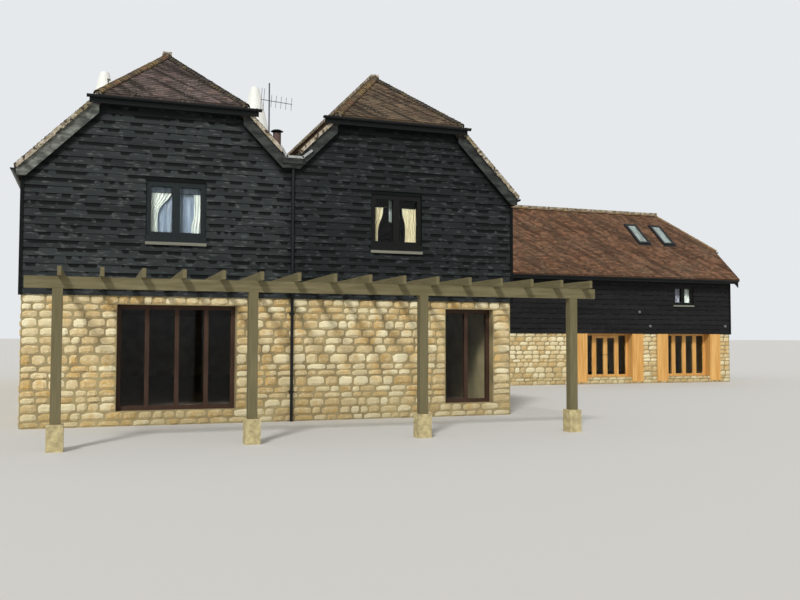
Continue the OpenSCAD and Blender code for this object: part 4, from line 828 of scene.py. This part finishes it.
for s in (-1, 1):
    verges.append(strip(rng, (wing_verge_x, wing_y + s * wing_half, wing_eave_z),
                        (wing_verge_x, wing_y + s * wing_stop_y, wing_stop_z), (1, 0, 0), shown,
                        above if s < 0 else below, long))
verges = np.concatenate(verges)
verges = verges[outside_kilns(verges.mean(1))]
build("verge_mortar", np.concatenate([verges, *beds]), BAR, verge_mortar)


# Bargeboards, fascias and soffit timbers: softwood boards nailed below the tiles' edges and painted black.
# Those on the left of the left gable are grey, and the others keep a dull sheen.
def timber(name, dark, light, fibre, rough=0.75, size=0.008, depth=0.0012):
    """Wood seen along the grain: fibres of size metres, long along one axis, over slow changes of tone. Real
    fibres are 1 to 2 mm wide and are drawn at 8 to 10 mm, so that they show."""
    mat, at = blank(name)
    grain = patches(mat, at, size, 0.3, 0.7, 6.0, fibre)
    slow = patches(mat, at, 0.4, 0.35, 0.65, 2.0, tuple(min(f, 4.0) for f in fibre))
    colour = layer(mat, dark, light, grain, 0.7)
    colour = layer(mat, colour, dark, slow, 0.4)
    return surface(mat, colour, rough, grain, depth, [("Specular IOR Level", 0.25)])


# Paint: blue-black with a dull sheen on the right, and on the left a chalky grey with dark streaks along
# the boards.
barge_paint, at = blank("Bargeboard_paint_two_tone")
across = add(barge_paint, "SeparateXYZ", [(0, at)]).outputs[0]
left_part = add(barge_paint, "MapRange", [(0, across), (1, -2.4), (2, -2.6)]).outputs[0]
grain = patches(barge_paint, at, 0.03, 0.35, 0.65, 5.0, (9.0, 1.0, 3.0))
fresh = layer(barge_paint, "#1f2121", "#434642", grain)
grey_left = layer(barge_paint, "#454743", "#84877f", grain)
grey_left = layer(barge_paint, grey_left, "#3c3d32", patches(barge_paint, at, 0.11, 0.5, 0.64), 0.6)
colour = layer(barge_paint, fresh, grey_left, left_part)
surface(barge_paint, colour, 0.7, grain, 0.001, [("Specular IOR Level", 0.25)])
dress(barge_paint, "bargeboards")

# The fascias' black paint is even, shines a little more, and is painted darker as the gutters' shade.
dress(timber("Black_paint_on_fascias", "#121617", "#202525", (40.0, 40.0, 1.0), 0.55), "fascias")

# Gutters and downpipe: half-round channels and a round pipe in plastic, clipped to the fascias by a bracket
# every 0.9 m. The brackets are bars below the channels, from the fascia out to the channel's lip.
eaves_z, wing_eaves_z, hips_z = 5.168, 4.307, 6.73
wing_from, wing_to, hips_from, hips_to = 5.8, 21.7, 0.8, 4.1
gutter_runs = [((-eave_x, stone_y, eaves_z), (-eave_x, 17.4, eaves_z), (1, 0, 0), -1),
               ((eave_x, stone_y, eaves_z), (eave_x, 10.6, eaves_z), (1, 0, 0), 1)]
gutter_runs += [((wing_from, y, wing_eaves_z), (wing_to, y, wing_eaves_z), (0, 1, 0), out)
                for y, out in ((wing_eave_y, -1), (wing_rear_eave_y, 1))]
gutter_runs += [((a, hip_y, hips_z), (b, hip_y, hips_z), (0, 1, 0), -1)
                for a, b in ((-hips_to, -hips_from), (hips_from, hips_to))]
apart, behind, arm, half, thick = 0.9, 0.037, 0.122, 0.012, 0.012
brackets = []
for a, b, side, out in gutter_runs:
    a, b, side = np.array(a), np.array(b), np.array(side, float)
    n = max(2, round(np.linalg.norm(b - a) / apart))
    run = (b - a) / np.linalg.norm(b - a)
    places = a + (b - a) * np.linspace(0, 1, n)[:, None] - out * side * behind
    tall = (0.0, thick) if np.cross(run, side)[2] > 0 else (-thick, 0.0)
    brackets.append(bars(places - run * half, places + run * half, side,
                         (0.0, arm) if out > 0 else (-arm, 0.0), tall))

# Dark plastic: nearly black, smooth enough for a soft shine, with slow changes from dust.
plastic, at = blank("Dark_gutter_plastic")
colour = layer(plastic, "#121618", "#0c1012", patches(plastic, at, 0.3, 0.4, 0.7))
surface(plastic, colour, 0.4, more=[("Specular IOR Level", 0.3)])
dress(plastic, "gutters", "downpipe")
build("gutter_brackets", np.concatenate(brackets), BAR, plastic)

# Lead: sheets beaten into the valley between the gables. At the front the sheet is dressed down over a
# painted board and a little way up the ends of the bargeboards.
edge_y, foot_z = verge_y - 0.01, 5.785
edge = bars([(-0.12, edge_y, foot_z), (-0.24, edge_y, 6.0), (0.24, edge_y, foot_z)],
            [(0.27, edge_y, foot_z), (-0.1, edge_y, 5.765), (0.46, edge_y, 5.965)],
            (0, -1, 0), (-0.01, 0.012), (-0.026, 0.026))
board = bars((-0.2, verge_y, 5.705), (0.25, verge_y, 5.705), (0, -1, 0), (-0.01, 0.01), (-0.06, 0.06))

# Old lead: a dull dark grey metal, half polished by rain. Where it is dressed over an edge it has bloomed to
# a pale, matt grey. Its ripples are 50 mm and 30 mm across.
lead, at = blank("Milled_lead_weathered")
colour = layer(lead, "#45484a", "#606365", patches(lead, at, 0.25, 0.35, 0.7))
surface(lead, colour, 0.55, patches(lead, at, 0.05, 0.3, 0.7), 0.001, [("Metallic", 0.6)])
dress(lead, "valley_gutter")
lead_edge, at = blank("Milled_lead_bloomed")
colour = layer(lead_edge, "#8e8f8d", "#b4b4b0", patches(lead_edge, at, 0.08, 0.35, 0.65))
surface(lead_edge, colour, 0.7, patches(lead_edge, at, 0.03, 0.3, 0.7), 0.001)
build("valley_lead_edge", edge, BAR, lead_edge)
build("valley_board", board, BAR, barge_paint)

# Windows: softwood frames with two casements each, screwed into the boarded walls over softwood sills, with
# clear glass bedded in putty. Their paint is black with a soft sheen, and on the left gable it has faded to
# a dark blue grey. The grain below it is 2 mm wide and is drawn at 8 mm, so that it shows.
window_paint, at = blank("Window_paint_black")
grain = patches(window_paint, at, 0.008, 0.3, 0.7, 6.0, (1.0, 1.0, 30.0))
across = add(window_paint, "SeparateXYZ", [(0, at)]).outputs[0]
left_part = add(window_paint, "MapRange", [(0, across), (1, 0.1), (2, -0.1)]).outputs[0]
fresh = layer(window_paint, "#070807", "#131511", grain)
faded = layer(window_paint, "#141a1b", "#272e2f", grain)
colour = layer(window_paint, fresh, faded, left_part)
surface(window_paint, colour, 0.55, grain, 0.0012, [("Specular IOR Level", 0.2)])
dress(window_paint, "window_frames")

# Clear glass: it lets most of the lamps' light by to the curtains, and reflects more weakly than real glass,
# so that the rooms behind it stay dark in the plain studio light.
glass, _ = blank("Clear_window_glass")
shadow = add(glass, "LightPath").outputs["Is Shadow Ray"]
let_by = add(glass, "MapRange", [(0, shadow), (3, 1.0), (4, 0.15)]).outputs[0]
surface(glass, "#f2f6f5", 0.02, more=[("Transmission Weight", 1.0), ("IOR", 1.2), ("Alpha", let_by)])
dress(glass, "window_glass", "front_screen_glass", "fixed_screen_glass", "left_door_glass",
      "right_door_glass")

# Stained softwood that the sun has bleached to a pale, dry grey with dark fibres along the sill.
dress(timber("Weathered_sill", "#737266", "#a6a598", (60.0, 1.0, 1.0), 0.85), "window_sills")


# Curtains: a grey net and white side curtains on the left, cream ones gathered to the sides on the right,
# and a violet and a white one in the wing, each hung from a thin steel rail behind the window's head.
def curtain(name, rail, mat, x0, x1, z0, z1, folds, depth, pinch, tie, spread):
    """Cloth hung in waves: y + depth sin(2 pi folds s) (0.7 + 0.3 t) at shares s of its width and t of its
    drop, narrowed to 1 - pinch exp(-((t - tie) / spread)^4) of its width."""
    y = rails[rail][2]
    per_fold, rows_down = 24, 25
    s, t = np.meshgrid(np.linspace(0, 1, per_fold * folds + 1), np.linspace(0, 1, rows_down))
    waist = 1 - pinch * np.exp(-((t - tie) / spread) ** 4)
    x = x0 + (x1 - x0) * s * waist
    z = z1 - (z1 - z0) * t
    p = np.stack([x, y + depth * np.sin(2 * np.pi * folds * s) * (0.7 + 0.3 * t), z], -1)
    rows, columns = s.shape
    i = (np.arange(rows - 1)[:, None] * columns + np.arange(columns - 1)[None]).reshape(-1, 1)
    quads = np.concatenate([i, i + columns, i + columns + 1, i + 1], 1)
    made = build(name, p.reshape(1, -1, 3), quads, mat, smooth=True)


def cloth(name, dark, light):
    """Thin woven cloth, matt and soft: slow changes of tone down its folds, and a weave whose threads,
    0.5 mm apart, are drawn at 2 mm."""
    mat, at = blank(name)
    colour = layer(mat, dark, light, patches(mat, at, 0.15, 0.35, 0.65, 2.0, (0.3, 1.0, 3.0)))
    return surface(mat, colour, 0.9, patches(mat, at, 0.002, 0.4, 0.6, 1.0), 0.0003)


# Steel rails, dull and nearly black in the shade of the windows' heads.
steel, _ = blank("Curtain_rail_steel")
surface(steel, "#2b2c2c", 0.5, more=[("Metallic", 0.5)])
rails = {"left_net_rail": (-3.0, -1.86, -0.045, 5.01), "left_curtain_rail": (-3.0, -1.86, -0.085, 4.875),
         "right_net_rail": (1.92, 3.06, -0.045, 5.01), "right_curtain_rail": (1.92, 3.06, -0.07, 4.83),
         "wing_curtain_rail": (18.9, 19.79, 11.47, 3.975)}
square, past = (-0.006, 0.006), 0.09
for name, (x0, x1, y, z) in rails.items():
    rail = bars((x0 - past, y, z), (x1 + past, y, z), (0, 1, 0), square, square)
    build(name, rail, BAR, steel)

# The cloths: a net whose blue is partly a painted reflection of the sky, the same net painted greyer as
# shade in the right window, and lined cottons that look thick beside it. Each line holds the curtain's
# ends, foot and head, folds, their depth, and how it is tied.
net = cloth("Grey_net", "#7f8ca0", "#9ba7b4")
shaded_net = cloth("Grey_net_painted_shade", "#828a85", "#a4aca6")
white_cloth = cloth("White_curtain_cloth", "#cfd6cf", "#f0f2e8")
cream_cloth = cloth("Cream_curtain_cloth", "#cdbf98", "#eadfbc")
violet_cloth = cloth("Violet_grey_curtain_cloth", "#85838f", "#a8a7b2")
for row in (
        ("left_net_curtain", "left_net_rail", net, -3.04, -1.82, 3.95, 5.005, 9, 0.012, 0.0, 0.5, 0.4),
        ("left_side_curtain_a", "left_curtain_rail", white_cloth, -3.03, -2.5, 3.94, 4.87, 7, 0.014, 0.56,
         0.68, 0.52),
        ("left_side_curtain_b", "left_curtain_rail", white_cloth, -1.83, -2.1, 3.94, 4.87, 4, 0.014, 0.2,
         0.3, 0.35),
        ("right_net_curtain", "right_net_rail", shaded_net, 2.36, 2.48, 4.5, 5.005, 3, 0.012, 0.0, 0.5, 0.4),
        ("right_side_curtain_a", "right_curtain_rail", cream_cloth, 1.93, 2.22, 3.94, 4.825, 4, 0.02, 0.45,
         0.85, 0.55),
        ("right_side_curtain_b", "right_curtain_rail", cream_cloth, 3.06, 2.68, 3.94, 4.825, 6, 0.02, 0.2,
         0.65, 0.4),
        ("wing_side_curtain_a", "wing_curtain_rail", violet_cloth, 18.9, 19.31, 3.3, 3.97, 5, 0.018, 0.1,
         0.5, 0.4),
        ("wing_side_curtain_b", "wing_curtain_rail", white_cloth, 19.79, 19.45, 3.3, 3.97, 5, 0.018, 0.1,
         0.2, 0.4)):
    curtain(*row)

# Oak: the wide posts, screens and doors of the wing, framed in green oak and pegged. Oil has turned it an
# orange brown with a low sheen. Bands of figure 90 mm wide run up it, and grain of 3 mm, drawn at 12 mm.
oak, at = blank("Green_oak_oiled")
grain = patches(oak, at, 0.012, 0.3, 0.7, 6.0, (1.0, 1.0, 55.0))
colour = layer(oak, "#d79f54", "#f0bf74", patches(oak, at, 0.09, 0.35, 0.65, 3.0, (1.0, 1.0, 14.0)))
colour = layer(oak, colour, "#bd8440", grain, 0.4)
surface(oak, colour, 0.65, grain, 0.0015, [("Specular IOR Level", 0.3)])
dress(oak, "oak_posts", "fixed_screens", "left_door", "right_door")

# Door fittings: lever handles on the meeting stiles, and butt hinges with one half screwed to the leaf and
# one to the screen. They are dark steel, smooth enough for small, clear highlights.
dark_steel, _ = blank("Dark_steel_fittings")
surface(dark_steel, "#3b3b3c", 0.4, more=[("Metallic", 0.9)])
dress(dark_steel, "left_door_fittings", "right_door_fittings", "door_hinges")

# Front screens: glazed joinery in the two openings of the stone storey, in shade behind the pergola. Brown
# stain leaves the upright grain in sight and shines a little.
dress(timber("Stained_joinery", "#3c2a20", "#5c4334", (1.0, 1.0, 30.0), 0.6), "front_screens")

# Floors: quarry tiles below and boards on joists above, seen only through the glass. The tiles are a matt
# brown in slow blotches, and the pine has long yellow grain.
floor_tiles, at = blank("Quarry_tile_floor")
surface(floor_tiles, layer(floor_tiles, "#8b7f70", "#776b5d", patches(floor_tiles, at, 0.3, 0.4, 0.6)), 0.6)
dress(floor_tiles, "ground_floor")
dress(timber("Floorboards_pine", "#7a5f43", "#a88760", (60.0, 1.0, 1.0)), "upper_floor")

# Cowls: tapering boards nailed to a cone and open on one side, on a curb at the top of each kiln. Each board
# follows the cone from foot to top, and all turn with the cowl.
# White gloss paint that has dulled to a soft sheen, with faint grey streaks 50 mm wide below the nails.
white, at = blank("White_cowl_paint")
streak = patches(white, at, 0.05, 0.45, 0.75, 3.0, (1.0, 1.0, 12.0))
surface(white, layer(white, "#f4f5ee", "#d2d2c6", streak, 0.5), 0.5, streak, 0.0006)
dress(white, "left_cowl", "right_cowl", "cowl_curbs")
curb_r, curb_high, lift, board_thick, board_gap = 0.72, 0.19, 0.03, 0.007, 0.006
foot_r, top_r, foot_rise, top_rise, narrowed = 0.7347, 0.2065, 0.02, 2.26, 0.012
board_count, boarded, shut_side = 15, math.radians(248), 56
cowl_turns = {"left": -12, "right": 82}
foot_z = kiln_top + (cone_r - curb_r) * math.tan(cone_pitch) + curb_high + lift
for name, x in kilns.items():
    step = boarded / board_count
    a = math.radians(cowl_turns[name] + shut_side) + step * np.arange(board_count)[:, None]
    b = a + step - board_gap
    rings = []
    for z, r, wide in ((foot_rise, foot_r, 0.0), (top_rise, top_r, narrowed)):
        for angle, h in ((b - wide, 0.0), (b - wide, board_thick), (a + wide, board_thick), (a + wide, 0.0)):
            rings.append(np.concatenate([x + (r + h) * np.cos(angle), kiln_y + (r + h) * np.sin(angle),
                                         foot_z + z + 0 * angle], 1))
    build(name + "_cowl_boards", np.stack(rings, 1), BAR[:, ::-1], white, body=name + "_cowl")

# Chimney: a square stack of soft red bricks in lime mortar with ten millimetre joints, under a terracotta
# flue with a metal cap. The frame's solid is the mortar, the flue and the cap, and the bricks stand proud.
(stack_x, stack_y, _), (stack_far_x, stack_far_y, _) = extent("chimney")
cx, cy = (stack_x + stack_far_x) / 2, (stack_y + stack_far_y) / 2
stack_half, joint, brick_high, first_bed, course_count = 0.215, 0.01, 0.065, 6.275, 9
stack_top, pot_top, sunk, proud, middle = 7.0, 7.53, -0.005, 0.012, 0.005
rng = np.random.default_rng(53)
bricks = []
for k in range(course_count):
    z = first_bed + (brick_high + joint) * k
    cut = (0.1 if k % 2 else 0.2) - stack_half
    for side_x, side_y in ((1, 0), (0, 1), (-1, 0), (0, -1)):
        for u0, u1 in ((-stack_half, cut), (cut + joint, middle), (middle + joint, stack_half)):
            a = np.array([cx + side_y * stack_half - side_x * u0, cy - side_x * stack_half - side_y * u0, z])
            b = a + np.array([side_x, side_y, 0]) * -(u1 - u0)
            bricks.append(bars(a, b, (0, 0, 1), (0.0, brick_high), (sunk, proud)))

# Soft brick, matt, each one its own red with sooty spots of 40 mm; a pinkish brown terracotta pot and a
# blue-black metal cap. The grit on all of them is 2 mm across and is drawn at 8 and 10 mm.
brick, at = blank("Soft_red_brick")
tone = add(brick, "Attribute", attribute_name="tone").outputs["Fac"]
colour = layer(brick, "#7d4a35", "#a76a4c", tone)
colour = layer(brick, colour, "#5c4a40", patches(brick, at, 0.04, 0.55, 0.7))
surface(brick, colour, 0.9, patches(brick, at, 0.008, 0.3, 0.7), 0.002)
flue, at = blank("Chimney_mortar_terracotta_and_cap")
height = add(flue, "SeparateXYZ", [(0, at)]).outputs[2]
above_stack = add(flue, "Math", [(0, height), (1, stack_top)], operation="GREATER_THAN").outputs[0]
above_pot = add(flue, "Math", [(0, height), (1, pot_top)], operation="GREATER_THAN").outputs[0]
colour = layer(flue, layer(flue, "#a8976c", "#6d5852", above_stack), "#22282c", above_pot)
surface(flue, colour, 0.85, patches(flue, at, 0.01, 0.3, 0.7), 0.001)
dress(flue, "chimney")
build("stack_bricks", np.concatenate(bricks), BAR, brick, rng.random(len(bricks)))

# Aerial: rods of thin aluminium tube clamped to a mast beside the stack. It has gone a dull dark grey, with
# little left of the metal's shine.
alu, _ = blank("Aerial_aluminium")
surface(alu, "#4a525a", 0.5, more=[("Metallic", 0.5)])
dress(alu, "aerial")

# Roof windows: metal-clad frames set into the wing's slope, with an apron below, soakers up both sides and a
# strip across the head, all folded from the same coated sheet. Dark grey, with a dull metal sheen.
flashing, at = blank("Roof_window_metal")
colour = layer(flashing, "#131414", "#202121", patches(flashing, at, 0.4, 0.4, 0.7))
surface(flashing, colour, 0.6, more=[("Metallic", 0.2), ("Specular IOR Level", 0.3)])
dress(flashing, "roof_windows")
up = np.array([0, math.cos(wing_pitch), math.sin(wing_pitch)])
sill_y = wing_eave_y + (roof_window_z - wing_eave_z) / wing_slope
soaker, fold, apron, head_strip = 0.03, 0.026, 0.12, 0.05
aprons = []
for x in roof_windows:
    left, right = (np.array([x + s * roof_window_half, sill_y, roof_window_z]) for s in (-1, 1))
    outer_left, outer_right = left - [soaker, 0, 0], right + [soaker, 0, 0]
    aprons += [bars(left, left + up * roof_window_long, (1, 0, 0), (-soaker, 0.0), (-fold, 0.0)),
               bars(right, right + up * roof_window_long, (1, 0, 0), (0.0, soaker), (-fold, 0.0)),
               bars(outer_left, outer_right, tuple(up), (-apron, 0.0), (0.0, 0.024)),
               bars(outer_left, outer_right, tuple(up), (roof_window_long, roof_window_long + head_strip),
                    (0.0, 0.02))]
build("roof_window_aprons", np.concatenate(aprons), BAR, flashing)

# Their double glass is smooth; its pale grey green and the lighter patches on it are a painted reflection
# of the sky.
roof_glass, at = blank("Roof_window_glass")
painted_reflection = patches(roof_glass, at, 0.11, 0.4, 0.6, 3.0, (1.0, 3.0, 2.6))
surface(roof_glass, layer(roof_glass, "#6f7b74", "#94a29e", painted_reflection), 0.08, more=[("Specular IOR Level", 0.6)])
dress(roof_glass, "roof_window_glass")

# Wall lamps: small round lamps screwed flat to the wing's boards. Their frosted glass, unlit, is an even mid
# grey and lets a little light in.
lamp, _ = blank("Frosted_lamp_glass")
surface(lamp, "#76777a", 0.5, more=[("Transmission Weight", 0.2)])
dress(lamp, "wall_lamps")

# Pergola: sawn timber, pegged together and stood on rough stone pads. The weather has silvered it to a dry,
# matt grey brown whose fibres run along each timber, and the pads are pale and blotched.
for name, kind, fibre in (("pergola_beam", "timber", (60.0, 6.0, 6.0)),
                          ("pergola_posts", "posts", (1.0, 1.0, 50.0)),
                          ("pergola_rafters", "rafters", (1.0, 50.0, 1.0))):
    dress(timber("Silvered_pergola_" + kind, "#645c40", "#8e8565", fibre, 0.85, 0.01, 0.002), name)
pad_stone, at = blank("Pad_stone_rough")
colour = layer(pad_stone, "#d2c391", "#ab9d74", patches(pad_stone, at, 0.1, 0.35, 0.65))
surface(pad_stone, colour, 0.92, patches(pad_stone, at, 0.03, 0.3, 0.7), 0.008)
dress(pad_stone, "pergola_pads")

# The stage: a wide pale floor, a pale backdrop that only the eye, mirrors and glass see, soft light from the
# whole sky and one large soft lamp from the front left.
wide = 3000
mesh = bpy.data.meshes.new("floor")
mesh.from_pydata([(-wide, -wide, 0), (wide, -wide, 0), (wide, wide, 0), (-wide, wide, 0)], [], [(0, 1, 2, 3)])
ground, _ = blank("Pale_floor")
surface(ground, "#cfcdc8", 0.9)
mesh.materials.append(ground)
floor = bpy.data.objects.new("floor", mesh)
bpy.context.scene.collection.objects.link(floor)
floor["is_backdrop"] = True
world = bpy.data.worlds.new("studio")
bpy.context.scene.world = world
world.use_nodes = True
world.node_tree.nodes.clear()
ray = add(world, "LightPath").outputs
eye, mirrored, through = (ray["Is %s Ray" % kind] for kind in ("Camera", "Glossy", "Transmission"))
seen = add(world, "Math", [(0, eye), (1, mirrored)], operation="MAXIMUM").outputs[0]
seen = add(world, "Math", [(0, seen), (1, through)], operation="MAXIMUM").outputs[0]
soft = add(world, "Background", [("Color", "#ffffff"), ("Strength", 0.55)]).outputs[0]
pale = add(world, "Background", [("Color", "#e6e9ec"), ("Strength", 1.0)]).outputs[0]
both = add(world, "MixShader", [(0, seen), (1, soft), (2, pale)]).outputs[0]
add(world, "OutputWorld", [("Surface", both)])
lamp_data = bpy.data.lights.new("key", "SUN")
lamp_data.energy = 2.1
lamp_data.angle = math.radians(9)
key = bpy.data.objects.new("key", lamp_data)
key.rotation_euler = (math.radians(48), 0, math.radians(-32))
bpy.context.scene.collection.objects.link(key)

# The camera, at the photograph's place, height and lens. Its axes: forward (sin yaw cos pitch, cos yaw cos
# pitch, sin pitch), right (cos yaw, -sin yaw, 0), up their cross product, then rolled.
yaw, tilt, roll = (math.radians(a) for a in (19.624, 2.585, 0.125))
forward = np.array([math.sin(yaw) * math.cos(tilt), math.cos(yaw) * math.cos(tilt), math.sin(tilt)])
right = np.array([math.cos(yaw), -math.sin(yaw), 0.0])
upward = np.cross(right, forward)
place = (-4.059, -18.845, 1.799)
camera_data = bpy.data.cameras.new("camera")
camera_data.lens = 38.83
camera_data.sensor_width = 36.0
camera_data.clip_end = 6000
camera = bpy.data.objects.new("camera", camera_data)
matrix = np.eye(4)
matrix[:3, 0] = right * math.cos(roll) + upward * math.sin(roll)
matrix[:3, 1] = upward * math.cos(roll) - right * math.sin(roll)
matrix[:3, 2] = -forward
matrix[:3, 3] = place
camera.matrix_world = Matrix(matrix.tolist())
bpy.context.scene.collection.objects.link(camera)
bpy.context.scene.camera = camera
bpy.context.scene.view_settings.view_transform = "Standard"

# Sizes: the box of the imported frame and the box of the finished building, both in metres.
low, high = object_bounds()
{"cad": [list(cad_low), list(cad_high)], "visual": [list(low), list(high)]}
